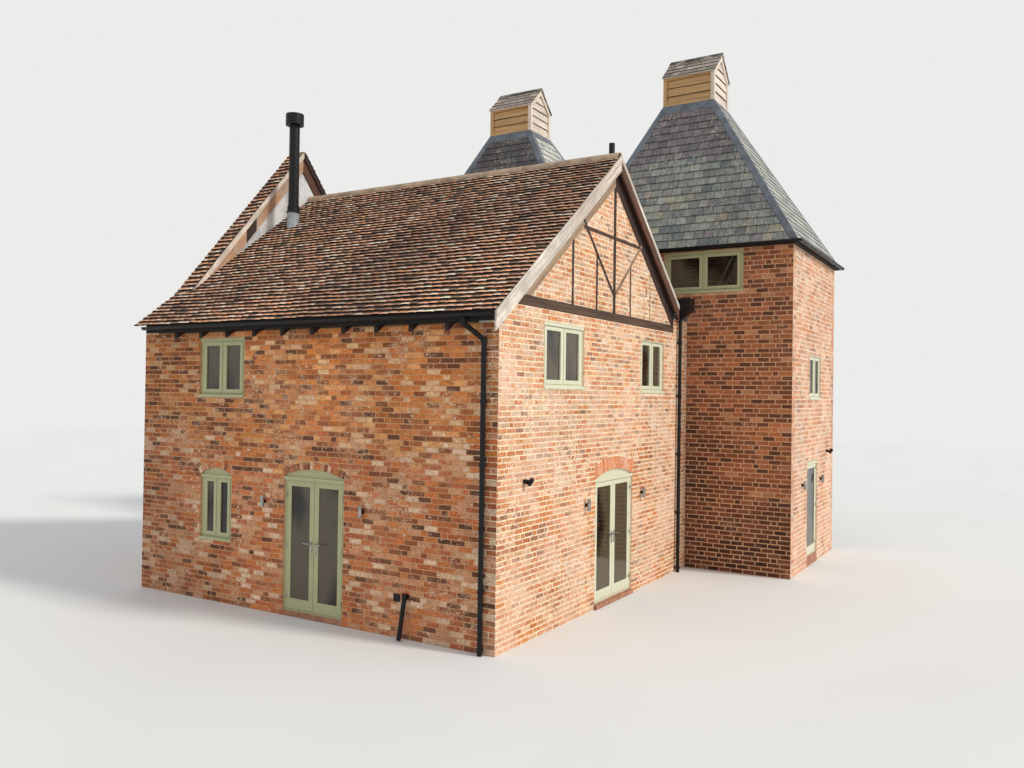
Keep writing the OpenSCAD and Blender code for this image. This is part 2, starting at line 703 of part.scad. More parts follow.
// Sockets up a pipe at x, y, each with a bracket of length back to the wall
pipe_off = 70;
socket_h = 60;
bracket_w = 36;
bracket_h = 40;
module collars(x, y, zs, back) translate([x, y, 0]) for (z = zs) {
  translate([0, 0, z]) cylinder(d = pipe_d + socket_more, h = socket_h);
  rotate(back) translate([-bracket_w/2, 0, z + (socket_h - bracket_h)/2])
    cube([bracket_w, pipe_off, bracket_h]);
}
front_pipe_x = x_gable - 205;
neck_shift = 190;
rear_pipe_y = y_kiln - 600;
kiln_pipe_x = x_end + 400;
hopper = [325, 270, 225];
funnel_h = 200;
hopper_z = tray_z + funnel_h;
module funnel() intersection() {
  rotate([90, 0, 0]) linear_extrude(hopper[1], center = true)
    polygon([[0, 0], [pipe_off + pipe_d/2, 0], [hopper[0], funnel_h], [0, funnel_h]]);
  rotate([90, 0, 90]) linear_extrude(hopper[0])
    polygon([[-pipe_d/2, 0], [pipe_d/2, 0], [hopper[1]/2, funnel_h], [-hopper[1]/2, funnel_h]]);
}
module downpipes() color("black") {
  front_pipe_y = y_front - pipe_off;
  front_mouth = [front_pipe_x - neck_shift, eave_y - gutter_r, rim_z - gutter_r - seat];
  tube([front_mouth, front_mouth - [0, 0, 75],
    [front_pipe_x, front_pipe_y, front_mouth[2] - 295], [front_pipe_x, front_pipe_y, 0]], pipe_d);
  collars(front_pipe_x, front_pipe_y, [40, 850, 1720, 2600, 3480, 4150], 0);
  rear_pipe_x = x_gable + pipe_off;
  tube([[rear_pipe_x, rear_pipe_y, tray_z], [rear_pipe_x, rear_pipe_y, 0]], pipe_d);
  translate([x_gable, rear_pipe_y, tray_z]) funnel();
  translate([x_gable, rear_pipe_y - hopper[1]/2, hopper_z]) cube(hopper);
  collars(rear_pipe_x, rear_pipe_y, [60, 1200, 2400, 3600, 4700], 90);
  kiln_pipe_y = y_rear + pipe_off;
  kiln_mouth = [kiln_pipe_x, y_rear + slate_out + gutter_r, kiln_rim_z - gutter_r - seat];
  tube([kiln_mouth, kiln_mouth - [0, 0, 110],
    [kiln_pipe_x, kiln_pipe_y, kiln_mouth[2] - 290], [kiln_pipe_x, kiln_pipe_y, 0]], pipe_d);
  collars(kiln_pipe_x, kiln_pipe_y, [60, 1300, 2500, 3700, 4900, 6050], 180);
}

// What stands on the roof is cut to the slope of the tiles
flue_x = -2920;
flue_y = -1050;
flue_cap = [368, 225];
flue_base_d = 250;
flue_base_h = 260;
flue_ring = [280, 40];
flue_collar = [245, 110];
vent_x = 3385;
vent_y = 820;
vent_top = 8340;
vent_base = [200, 160];
pipe_root = 400;
module roof_pipe(x, y, top, d, base_d, base_h) translate([x, y, 0]) {
  root = tile_top(y) - pipe_root;
  translate([0, 0, root]) cylinder(d = d, h = top - root);
  translate([0, 0, root]) cylinder(d = base_d, h = pipe_root + base_h);
}
module roof_pipes() color("dimgrey") difference() {
  union() {
    roof_pipe(flue_x, flue_y, flue_top, flue_d, flue_base_d, flue_base_h);
    translate([flue_x, flue_y, flue_top - flue_cap[1]]) cylinder(d = flue_cap[0], h = flue_cap[1]);
    translate([flue_x, flue_y, tile_top(flue_y) + flue_base_h]) {
      cylinder(d = flue_ring[0], h = flue_ring[1]);
      cylinder(d = flue_collar[0], h = flue_ring[1] + flue_collar[1]);
    }
    roof_pipe(vent_x, vent_y, vent_top, vent_d, vent_base[0], vent_base[1]);
  }
  along_wing(x_party, x_gable) wing_section_2d(seat);
}

// A window: a frame with a mullion, and two casements in its rebates
rebate_d = 56;
rebate_w = 14;
sash_proud = 8;
bottom_bar = 25;
module half_2d(o, s, inset) {
  w = o[1]/2 - jamb_w - mullion_w/2;
  x = o[0] + (s < 0 ? -o[1]/2 + jamb_w : mullion_w/2);
  z = o[2] + sill_h + bottom_bar;
  translate([x + inset, z + inset]) square([w - 2*inset, o[3] - drip_h - z - 2*inset]);
}
module frame_2d(o, inset) difference() {
  opening_2d(o);
  for (s = [-1, 1]) half_2d(o, s, inset);
}
module casements_2d(o) for (s = [-1, 1]) difference() {
  half_2d(o, s, sash_gap);
  half_2d(o, s, sash_gap + casement_w);
}
module window_part_2d(o, which) {
  if (which == "frame") frame_2d(o, 0);
  if (which == "rebate") frame_2d(o, rebate_w);
  if (which == "casements") casements_2d(o);
  if (which == "glass") for (s = [-1, 1]) half_2d(o, s, sash_gap + casement_w);
  if (which == "drip") translate([o[0] - o[1]/2, o[3] - drip_h]) square([o[1], drip_h]);
  if (which == "sill") translate([o[0] - o[1]/2, o[2]]) square([o[1], sill_h]);
}
module each_window(from, to, which) {
  for (o = front_windows) in_front(y_front, from, to) window_part_2d(o, which);
  for (o = gable_windows) in_right(x_gable, from, to) window_part_2d(o, which);
  for (o = high_windows) in_front(y_kiln, from, to) window_part_2d(o, which);
  for (o = side_windows) in_right(x_side, from, to) window_part_2d(o, which);
  for (o = end_windows) in_left(x_end, from, to) window_part_2d(o, which);
  for (o = rear_windows) in_rear(y_rear, from, to) window_part_2d(o, which);
}
module window_frames() color("darkseagreen") {
  each_window(window_set, window_set + rebate_d, "frame");
  each_window(window_set + rebate_d, window_set + frame_d, "rebate");
  each_window(window_set - drip_out, window_set, "drip");
  each_window(window_set - sash_proud, window_set + rebate_d - seat, "casements");
}
glass_set = 16;
module window_glass() color("lightblue", 0.4)
  each_window(window_set + glass_set, window_set + glass_set + glass_t, "glass");

// Sills in front of the window frames
module sills() color("darkseagreen") each_window(-sill_out, window_set, "sill");

// Steps under the doors; the gable's stands out of the wall
step_out = 50;
module step_2d(o) translate([o[0] - o[1]/2, 0]) square([o[1], o[2]]);
module door_steps() color("rosybrown") {
  in_front(y_front, 0, wall_t) step_2d(front_door);
  in_right(x_gable, -step_out, wall_t) step_2d(gable_door);
  in_right(x_side, 0, wall_t) step_2d(side_door);
}

// Door frames: jambs, a threshold, a stop behind the leaves and a solid arched head
threshold_h = 30;
stop_w = 14;
leaf_in = leaf_t + door_gap;
function leaf_bottom(o) = o[2] + threshold_h + door_gap;
function leaf_head(o) = min(leaf_top_z, o[3] - max(frame_w, drip_h) - door_gap);
module door_frame_2d(o, reveal) difference() {
  opening_2d(o);
  translate([o[0] - o[1]/2 + frame_w + reveal, o[2] + threshold_h])
    square([o[1] - 2*frame_w - 2*reveal, leaf_head(o) + door_gap - reveal - o[2] - threshold_h]);
}
module door_drip_2d(o) translate([o[0] - o[1]/2, leaf_head(o) + door_gap])
  square([o[1], drip_h]);
module door_frames() color("darkseagreen") {
  in_front(y_front, door_set, door_set + leaf_in) door_frame_2d(front_door, 0);
  in_front(y_front, door_set + leaf_in, door_set + frame_d) door_frame_2d(front_door, stop_w);
  in_front(y_front, door_set - drip_out, door_set) door_drip_2d(front_door);
  for (pair = [[x_gable, gable_door], [x_side, side_door]]) {
    in_right(pair[0], door_set, door_set + leaf_in) door_frame_2d(pair[1], 0);
    in_right(pair[0], door_set + leaf_in, door_set + frame_d) door_frame_2d(pair[1], stop_w);
    in_right(pair[0], door_set - drip_out, door_set) door_drip_2d(pair[1]);
  }
  place_front() frame_hinges(front_door, [-1, 1]);
  place_right(x_gable) frame_hinges(gable_door, [-1, 1]);
  place_right(x_side) frame_hinges(side_door, [1]);
}

// Local frame of a door: x along the wall seen from outside, y inwards, z up
module place_front() translate([0, y_front + door_set, 0]) children();
module place_right(face) translate([face - door_set, 0, 0]) rotate(90) children();

// Hinges: knuckles on the axis, just outside the leaf's edge and its outer face
axis_out = 8;
hinge_zs = [180, 1000, 1820];
flap_t = 4;
module knuckle(z, h, to) {
  translate([0, 0, z]) cylinder(r = knuckle_r, h = h, $fn = 32);
  block([min(0, to), axis_out - flap_t, z], [max(0, to), axis_out, z + h]);
}
module frame_hinges(o, sides) for (s = sides) translate([axis_x(o, s), -axis_out, 0])
  for (z = hinge_zs) for (dz = [-knuckle_h - seat, knuckle_h + seat])
    knuckle(leaf_bottom(o) + z + dz, knuckle_h, s*32);
function axis_x(o, s) = o[0] + s*(o[1]/2 - frame_w - door_gap/2);

// A glazed leaf, hung on side s of its opening; twin leaves meet in the middle
function leaf_w(o, twin) = twin ? o[1]/2 - frame_w - door_gap - meet_gap/2
  : o[1] - 2*frame_w - 2*door_gap;
module leaf_2d(o, twin) {
  w = leaf_w(o, twin);
  h = leaf_head(o) - leaf_bottom(o);
  difference() { square([w, h]); leaf_pane_2d(o, twin); }
}
module leaf_pane_2d(o, twin) {
  w = leaf_w(o, twin);
  h = leaf_head(o) - leaf_bottom(o);
  translate([stile_w, bottom_rail]) square([w - 2*stile_w, h - bottom_rail - stile_w]);
}
// Lever handles on tall, narrow plates, on both faces of a leaf
handle_z = 1085;
plate = [28, 215, 8];
plate_top = 45;
lever_d = 20;
lever_len = 144;
lever_out = 50;
module lever(w) for (side = [-1, 1])
  translate([w - stile_w/2, side < 0 ? 0 : leaf_t, handle_z]) {
    translate([-plate[0]/2, side < 0 ? -plate[2] : 0, plate_top - plate[1]])
      cube([plate[0], plate[2], plate[1]]);
    rotate([-90*side, 0, 0]) cylinder(d = lever_d, h = lever_out, $fn = 32);
    translate([0, side*lever_out, 0]) rotate([0, -90, 0])
      cylinder(d = lever_d, h = lever_len, $fn = 32);
  }
module leaf(o, s, twin) translate([axis_x(o, s), 0, leaf_bottom(o)]) mirror([s > 0 ? 1 : 0, 0, 0]) {
  translate([door_gap/2, leaf_t, 0]) rotate([90, 0, 0]) linear_extrude(leaf_t) leaf_2d(o, twin);
  translate([0, -axis_out, 0]) for (z = hinge_zs) knuckle(z, knuckle_h, 30);
  translate([door_gap/2, 0, 0]) lever(leaf_w(o, twin));
}
module leaf_glass(o, s, twin) translate([axis_x(o, s), 0, leaf_bottom(o)])
  mirror([s > 0 ? 1 : 0, 0, 0]) translate([door_gap/2, leaf_t/2 + glass_t/2, 0]) rotate([90, 0, 0])
    linear_extrude(glass_t) leaf_pane_2d(o, twin);

module front_door_left() color("darkseagreen") place_front() leaf(front_door, -1, true);
module front_door_right() color("darkseagreen") place_front() leaf(front_door, 1, true);
module gable_door_left() color("darkseagreen") place_right(x_gable) leaf(gable_door, -1, true);
module gable_door_right() color("darkseagreen") place_right(x_gable) leaf(gable_door, 1, true);
module kiln_door() color("darkseagreen") place_right(x_side) leaf(side_door, 1, false);
module front_door_left_glass() color("lightblue", 0.4) place_front() leaf_glass(front_door, -1, true);
module front_door_right_glass() color("lightblue", 0.4) place_front() leaf_glass(front_door, 1, true);
module gable_door_left_glass() color("lightblue", 0.4)
  place_right(x_gable) leaf_glass(gable_door, -1, true);
module gable_door_right_glass() color("lightblue", 0.4)
  place_right(x_gable) leaf_glass(gable_door, 1, true);
module kiln_door_glass() color("lightblue", 0.4) place_right(x_side) leaf_glass(side_door, 1, false);

// Round up-and-down lamps on short arms, at each side of every door, and two spotlights
lamp_z = 1810;
lamp_h = 190;
lamp_d = 62;
lamp_out = 70;
arm = [44, 60];
function beside(o, gaps) = [o[0] - o[1]/2 - gaps[0], o[0] + o[1]/2 + gaps[1]];
front_lamps = beside(front_door, [422, 391]);
gable_lamps = beside(gable_door, [376, 406]);
kiln_lamps = beside(side_door, [508, 277]);
gable_spot = [y_front + 736, 2354];
kiln_spot = [y_rear - 782, 2400];
spot_size = [70, 110];
spot_out = 80;
module lamp() {
  translate([0, -lamp_out, -lamp_h/2]) cylinder(d = lamp_d, h = lamp_h);
  translate([-arm[0]/2, -lamp_out, -arm[1]/2]) cube([arm[0], lamp_out, arm[1]]);
}
module spot() {
  translate([0, -spot_out, -40]) rotate([35, 0, 0]) cylinder(d = spot_size[0], h = spot_size[1]);
  translate([-spot_size[0]/2, -60, -25]) cube([spot_size[0], 60, 60]);
}
module wall_lights() color("silver") {
  for (x = front_lamps) translate([x, y_front, lamp_z]) lamp();
  for (y = gable_lamps) translate([x_gable, y, lamp_z]) rotate(90) lamp();
  for (y = kiln_lamps) translate([x_side, y, lamp_z]) rotate(90) lamp();
  translate([x_gable, gable_spot[0], gable_spot[1]]) rotate(90) spot();
  translate([x_side, kiln_spot[0], kiln_spot[1]]) rotate(90) spot();
}

// A short waste pipe that leans out of the front wall, and the vent beside it
outlet = [2306, 640];
outlet_d = 68;
outlet_out = 70;
outlet_foot = [2260, y_front - 140, 18];
vent_box = [2061, 535, 110];
vent_box_t = 25;
module outlet_pipe() color("black") {
  tube([[outlet[0], y_front, outlet[1]], [outlet[0], y_front - outlet_out, outlet[1]],
    outlet_foot], outlet_d);
  translate([vent_box[0], y_front - vent_box_t, vent_box[1]])
    cube([vent_box[2], vent_box_t, vent_box[2]]);
}

ground_floor();
upper_floors();
front_wall_left();
front_wall_right();
front_wall_over_door();
gable_wall_left();
gable_wall_right();
gable_wall_over_door();
gable_infill();
gable_frame();
party_wall();
kiln_front_wall();
kiln_side_wall_front();
kiln_side_wall_rear();
kiln_side_wall_over_door();
kiln_rear_wall();
kiln_dividing_wall();
kiln_end_wall();
front_roof_slope();
rear_roof_slope();
ridge_tiles();
rafters();
bargeboards();
box_gutter();
right_kiln_roof();
left_kiln_roof();
lead_hips();
cowls();
cowl_boards();
cowl_roofs();
gutters();
downpipes();
roof_pipes();
window_frames();
window_glass();
sills();
door_steps();
door_frames();
wall_lights();
outlet_pipe();
front_door_left();
front_door_left_glass();
front_door_right();
front_door_right_glass();
gable_door_left();
gable_door_left_glass();
gable_door_right();
gable_door_right_glass();
kiln_door();
kiln_door_glass();
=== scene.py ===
"""Looks of the oast house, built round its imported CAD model."""
import json
import math
import random

import bmesh
import bpy
import numpy as np
from mathutils import Matrix, Vector, noise


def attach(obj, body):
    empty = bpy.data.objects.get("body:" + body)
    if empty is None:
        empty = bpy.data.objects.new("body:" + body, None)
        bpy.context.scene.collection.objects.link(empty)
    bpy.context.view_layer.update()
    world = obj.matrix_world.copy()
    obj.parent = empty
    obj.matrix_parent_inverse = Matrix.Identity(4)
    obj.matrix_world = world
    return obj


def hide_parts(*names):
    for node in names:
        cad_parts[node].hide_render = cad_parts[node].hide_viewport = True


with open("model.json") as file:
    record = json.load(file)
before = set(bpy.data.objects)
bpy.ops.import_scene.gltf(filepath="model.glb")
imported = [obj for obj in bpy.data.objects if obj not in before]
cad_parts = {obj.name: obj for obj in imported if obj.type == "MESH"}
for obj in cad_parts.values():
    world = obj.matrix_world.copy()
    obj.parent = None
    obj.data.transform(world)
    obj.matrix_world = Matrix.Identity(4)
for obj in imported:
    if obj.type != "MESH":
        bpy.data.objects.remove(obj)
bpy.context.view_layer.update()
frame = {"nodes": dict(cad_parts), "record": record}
nodes = frame["nodes"]
rng = random.Random(11)

# Places taken from the CAD model, in metres
X_GABLE, X_END, X_PARTY, X_SIDE = 3.83, -3.83, -3.49, 6.036
Y_FRONT, Y_KILN, Y_REAR = -3.78, 3.78, 7.91
APEX, RIDGE_Y, RIDGE_LENGTH = 7.85, 0.04, 7.4
FRONT_PITCH, REAR_PITCH = math.radians(37.2), math.radians(38.5)
EAVE_Y, REAR_EAVE_Y = -4.03, 3.02
TIE_Z, TIE_TOP, TIE_START = 4.92, 5.08, -3.28
TRAY_Y, TRAY_Z = 2.97, 5.209
PRINCIPAL, COVER = 0.438, 0.1103
UNDER_COVER = APEX - COVER / math.cos(FRONT_PITCH)
POST_TOP, FRAME_DEPTH = 7.27, 0.13
KILN_TOP, EDGE_Z, COWL_Z = 6.72, 6.80, 10.43
COWL_XS, KILN_Y = (3.25, -1.60), 5.845
COWL_W, COWL_D, COWL_H, COWL_RISE = 1.24, 1.06, 0.70, 0.50
RUN_RIGHT, RUN_LEFT, RUN_Y = 2.256, 1.70, 1.625
VALLEY_X = 1.0787
PARTY_APEX_Y, PARTY_APEX, PARTY_PITCH, PARTY_FOOT = -0.25, 8.68, math.radians(49.5), 2.9
COPING, PARTY_BOARD = 0.10 / math.cos(PARTY_PITCH), 0.29
VERGE_X, BOARD = X_GABLE + 0.0803, 0.03
FLUE_Y, FLUE_BASE, VENT_SLEEVE = -1.05, 0.26, 7.39
LEAF, WINDOW_SET, DOOR_SET = 0.0446, 0.035, 0.03
LAMPS_TOP, LAMP_ARM = 2.2, 0.036

# Where brickwork stops: under the eaves, where the kilns' front clears the wing's roof, where the
# party wall steps in beside the box gutter, and its last course
EAVE_DROP, KILN_CLEAR, PARTY_STEP, PARTY_LAST = 0.33, 5.29, 5.19, 8.6

# Openings: middle along the wall, width, bottom, springing or head, rise of the arch, ring
FRONT_HOLES = [(0.397, 1.29, 0.0, 2.268, 0.115, 0.115), (-1.871, 0.788, 1.041, 2.165, 0.13, 0.115),
               (-1.779, 1.118, 3.501, 4.514, 0, 0)]
GABLE_HOLES = [(0.14, 1.57, 0.0, 2.2, 0.135, 0.225), (-1.817, 1.365, 3.715, 4.738, 0, 0),
               (1.86, 1.185, 3.678, 4.718, 0, 0)]
HIGH_HOLES = [(x, 1.73, 5.82, 6.70, 0, 0) for x in (4.166, -0.684)]
SIDE_HOLES = [(5.7, 1.015, 0.0, 2.265, 0, 0), (5.911, 1.178, 3.59, 4.585, 0, 0)]
END_HOLES = [(5.911, 1.178, z, z + 0.995, 0, 0) for z in (1.059, 3.59)]
REAR_HOLES = HIGH_HOLES + [(x + 0.1, 1.178, z, z + 0.995, 0, 0) for x in COWL_XS
                           for z in (1.059, 3.59)]


def below(y, depth, pitch=None):
    """Height of a line under the wing's tiles, by its depth square to the slope"""
    pitch = pitch or (FRONT_PITCH if y < RIDGE_Y else REAR_PITCH)
    return APEX - abs(y - RIDGE_Y) * math.tan(pitch) - depth / math.cos(pitch)


def tile_top(y):
    """Height of the wing's roof at y"""
    return below(y, 0)


def under_slopes(z, peak):
    """Where lines parallel to the wing's slopes are at a height, by the peak that they meet at"""
    return (RIDGE_Y - (peak - z) / math.tan(FRONT_PITCH),
            RIDGE_Y + (peak - z) / math.tan(REAR_PITCH))


def party_line(y, lift):
    """Height of a line parallel to the raised gable's slopes, lifted off them"""
    return PARTY_APEX + lift - abs(y - PARTY_APEX_Y) * math.tan(PARTY_PITCH)


def slope_axes(pitch, sign):
    """Directions up a slope and out of it; sign is -1 in front and 1 behind"""
    return (Vector((0, -sign * math.cos(pitch), math.sin(pitch))),
            Vector((0, sign * math.sin(pitch), math.cos(pitch))))


def linear(rgb):
    """A colour named in sRGB, turned linear for the shaders"""
    return tuple(c / 12.92 if c <= 0.04045 else ((c + 0.055) / 1.055) ** 2.4 for c in rgb)


def scaled(rgb, k):
    """A colour times one number, or times one for each channel"""
    return tuple(c * f for c, f in zip(rgb, k if isinstance(k, tuple) else (k, k, k)))


# Materials, each kept under its name

MATERIALS = {}


class Graph:
    """A node material: makes nodes, links them and feeds the shader's sockets"""

    def __init__(self, name):
        material = MATERIALS[name] = bpy.data.materials.new(name)
        material.use_nodes = True
        self.tree = material.node_tree
        self.place = self.node("NewGeometry")["Position"]

    def feed(self, node, sockets):
        """Link each named socket to another node's, or set its value"""
        for key, value in sockets.items():
            socket = node.inputs[key]
            if isinstance(value, bpy.types.NodeSocket):
                self.tree.links.new(value, socket)
            elif isinstance(value, tuple) and socket.type == "RGBA":
                socket.default_value = (*value, 1)
            else:
                socket.default_value = value

    def node(self, kind, sockets=None, **values):
        """Make a node and return its outputs"""
        node = self.tree.nodes.new("ShaderNode" + kind)
        for key, value in values.items():
            setattr(node, key, value)
        self.feed(node, sockets or {})
        return node.outputs

    def noise(self, scale, detail=4.0, stretch=(1, 1, 1), where=None, rough=0.5):
        vector = where or self.place
        if stretch != (1, 1, 1):
            vector = self.node("Mapping", {"Vector": vector, "Scale": stretch})["Vector"]
        return self.node("TexNoise", {"Vector": vector, "Scale": scale, "Detail": detail,
                                      "Roughness": rough})["Fac"]

    def ramp(self, value, low, high, out_low=0.0, out_high=1.0):
        return self.node("MapRange", {"Value": value, "From Min": low, "From Max": high,
                                      "To Min": out_low, "To Max": out_high},
                         interpolation_type="SMOOTHSTEP")["Result"]

    def vary(self, pattern, low, high, start=0.3):
        """A value between low and high, by a noise"""
        return self.ramp(pattern, start, 0.7, low, high)

    def mix(self, factor, a, b):
        return self.node("Mix", {"Factor": factor, "A": a, "B": b}, data_type="RGBA")["Result"]

    def math(self, operation, a, b):
        return self.node("Math", {0: a, 1: b}, operation=operation)[0]

    def axis(self, i):
        return self.node("SeparateXYZ", {0: self.place})[i]

    def attribute(self, name, output="Color"):
        return self.node("Attribute", attribute_name=name)[output]

    def shade(self, colour, amount):
        """Multiply a colour's brightness by an amount"""
        return self.node("HueSaturation", {"Color": colour, "Value": amount})["Color"]

    def mottle(self, colour, pattern, low, high, start=0.3):
        """Multiply a colour's brightness by between low and high, by a noise"""
        return self.shade(colour, self.vary(pattern, low, high, start))

    def finish(self, colour, roughness, bumps=(), **sockets):
        """Feed the shader; bumps are of a height and a depth, one on top of the other"""
        normal = {}
        for height, depth in bumps:
            normal = {"Normal": self.node("Bump", {"Height": height, "Strength": 1.0,
                                                   "Distance": depth, **normal})["Normal"]}
        more = {key.replace("_", " "): value for key, value in sockets.items()}
        self.feed(self.tree.nodes["Principled BSDF"],
                  {"Base Color": colour, "Roughness": roughness, **normal, **more})


def brick_material(name, smear, smear_from, soot=0.0, flecks=0.0, film=0.0):
    """Worn clay bricks, coloured one by one, with smears of old lime and a film of it low down"""
    g = Graph(name)
    colour = g.mottle(g.attribute("tone"), g.noise(26, 5, (1, 1, 1.7), rough=0.7), 0.62, 1.32)
    colour = g.mottle(colour, g.noise(150, 3), 0.80, 1.18, 0.32)
    pits = g.ramp(g.noise(75, 4, rough=0.7), 0.30, 0.38, 0.7, 0.0)
    colour = g.mix(pits, colour, linear((0.25, 0.15, 0.11)))
    smears = g.math("MULTIPLY", g.ramp(g.noise(1.7, 4, rough=0.65), smear_from, smear_from + 0.2),
                    g.ramp(g.noise(21, 5, (1, 1, 1.5), rough=0.68), 0.46, 0.60))
    colour = g.mix(g.math("MULTIPLY", smears, 0.85), colour, linear(smear))
    if film:
        low = g.math("ADD", g.noise(1.0, 4, rough=0.6), g.math("MULTIPLY", g.axis(2), -0.03))
        colour = g.mix(g.ramp(low, 0.40, 0.56, 0.0, film), colour,
                       scaled(linear(smear), (0.86, 0.70, 0.66)))
    if flecks:
        white = g.ramp(g.noise(11, 4, (1, 1, 1.6), rough=0.6), 0.64, 0.70, 0.0, flecks)
        colour = g.mix(white, colour, linear((0.97, 0.88, 0.80)))
    if soot:
        dark = g.ramp(g.noise(0.9, 4, rough=0.6), 0.48, 0.70, 0.0, soot)
        colour = g.mix(dark, colour, linear((0.26, 0.18, 0.14)))
    g.finish(colour, g.vary(g.noise(90), 0.78, 0.95),
             [(g.noise(140, 5), 0.0022), (g.noise(30, 3), 0.002)])


def mortar_material(name, tone, axis, face, depth=0.2):
    """Sandy lime mortar to a depth behind a wall's face, limewashed plaster further in"""
    g = Graph(name)
    tone = linear(tone)
    mortar = g.mix(g.ramp(g.noise(6, 5, rough=0.65), 0.38, 0.66), tone,
                   scaled(tone, (0.74, 0.66, 0.58)))
    mortar = g.mottle(mortar, g.noise(200, 3), 0.82, 1.15)
    plaster = g.mix(g.ramp(g.noise(3, 4), 0.35, 0.7), linear((0.86, 0.84, 0.80)),
                    linear((0.78, 0.75, 0.70)))
    side = g.math("GREATER_THAN" if depth < 0 else "LESS_THAN", g.axis(axis), face + depth)
    g.finish(g.mix(side, plaster, mortar), 0.93, [(g.noise(220, 4), 0.0015)])


def tile_material():
    g = Graph("clay_tiles")
    colour = g.mottle(g.attribute("tone"), g.noise(30, 5, rough=0.65), 0.70, 1.25)
    lichen = g.math("MULTIPLY", g.ramp(g.noise(60, 3), 0.54, 0.66),
                    g.ramp(g.noise(1.3, 3), 0.4, 0.7))
    colour = g.mix(g.math("MULTIPLY", lichen, 0.5), colour, g.shade(colour, 1.7))
    moss = g.ramp(g.noise(1.1, 5, rough=0.65), 0.52, 0.74, 0.0, 0.45)
    colour = g.mix(moss, colour, g.shade(colour, 0.45))
    g.finish(colour, 0.9, [(g.noise(160, 4), 0.0016)])


def slate_material():
    g = Graph("riven_slates")
    colour = g.mottle(g.attribute("tone"), g.noise(20, 5, (1, 1, 0.25), rough=0.65), 0.72, 1.25)
    colour = g.mottle(colour, g.noise(7, 4, rough=0.6), 0.82, 1.18)
    stain = g.math("MULTIPLY", g.ramp(g.noise(1.5, 3), 0.42, 0.66),
                   g.ramp(g.noise(16, 5, (1.4, 1.4, 0.5), rough=0.65), 0.5, 0.64))
    colour = g.mix(g.math("MULTIPLY", stain, 0.7), colour, linear((0.72, 0.71, 0.64)))
    g.finish(colour, g.vary(g.noise(60), 0.42, 0.68), [(g.noise(60, 5, rough=0.6), 0.002)])


def wood_material(name, dark, gloss, depth, checks, light=None, grey=None):
    """Timber whose grain runs along each bar; without light, each bar has its own tone"""
    g = Graph(name)
    grain = g.attribute("grain", "Vector")
    rings = g.noise(1.0, 6, (1.2, 26, 26), grain, 0.6)
    fine = g.noise(1.0, 4, (6, 190, 190), grain)
    if light:
        light, dark = linear(light), linear(dark)
    else:
        light = g.attribute("tone")
        dark = g.shade(light, dark)
    colour = g.mottle(g.mix(g.ramp(rings, 0.32, 0.68), light, dark), fine, 0.82, 1.14)
    if grey:
        colour = g.mix(g.ramp(g.noise(3.5, 5), 0.42, 0.70, 0.0, 0.7), colour, linear(grey))
    split = g.ramp(g.noise(1.0, 3, (0.8, 60, 60), grain, 0.7), 0.70, 0.76, 0.0, checks)
    colour = g.mix(split, colour, g.shade(colour, 0.25))
    g.finish(colour, g.vary(fine, gloss - 0.1, gloss + 0.08), [(rings, depth), (fine, depth * 0.5)])


def paint_material(name, tone):
    """Painted timber: faint brush marks and a little grime"""
    g = Graph(name)
    marks = g.noise(1.0, 3, (6, 190, 190), g.attribute("grain", "Vector"))
    grime = g.ramp(g.noise(4.5, 5, rough=0.6), 0.5, 0.78, 0.0, 0.25)
    colour = g.mix(grime, g.mottle(linear(tone), marks, 0.93, 1.06), scaled(linear(tone), 0.55))
    g.finish(colour, g.vary(g.noise(12, 4), 0.37, 0.57), [(marks, 0.0004)])


def metal_material(name, tone, metallic, roughness, wear, scale, shine=0.5):
    g = Graph(name)
    colour = g.mottle(linear(tone), g.noise(scale, 5), 0.75, 1.25)
    worn = g.ramp(g.noise(scale * 3, 5, rough=0.65), 0.52, 0.72, 0.0, 0.5)
    g.finish(g.mix(worn, colour, linear(wear)),
             g.vary(g.noise(scale * 2), roughness - 0.1, roughness + 0.15),
             [(g.noise(scale * 8, 3), 0.0006)], Metallic=metallic, Specular_IOR_Level=shine)


def plain_material(name, tone, other, scale, roughness, depth, stretch=(1, 1, 1)):
    """Two tones in soft patches, with a finer grain"""
    g = Graph(name)
    colour = g.mix(g.ramp(g.noise(scale, 5, stretch, rough=0.6), 0.35, 0.68), linear(tone),
                   linear(other))
    colour = g.mottle(colour, g.noise(scale * 22, 3, stretch), 0.88, 1.12)
    g.finish(colour, roughness, [(g.noise(scale * 14, 4, stretch), depth)])


def floor_material():
    g = Graph("studio_floor")
    g.finish(g.mix(g.vary(g.noise(0.3, 2), 0.0, 1.0), linear((0.90, 0.90, 0.89)),
                   linear((0.89, 0.89, 0.88))), 0.95)


def glass_material():
    """Dark panes with a faint painted cloud of reflected light"""
    g = Graph("window_glazing")
    colour = g.mix(g.ramp(g.noise(0.9, 2, (1, 1, 0.8)), 0.42, 0.60), linear((0.07, 0.06, 0.05)),
                   linear((0.36, 0.32, 0.25)))
    g.finish(colour, 0.03, [(g.noise(2.2, 2), 0.0009)], IOR=1.55, Alpha=0.86)
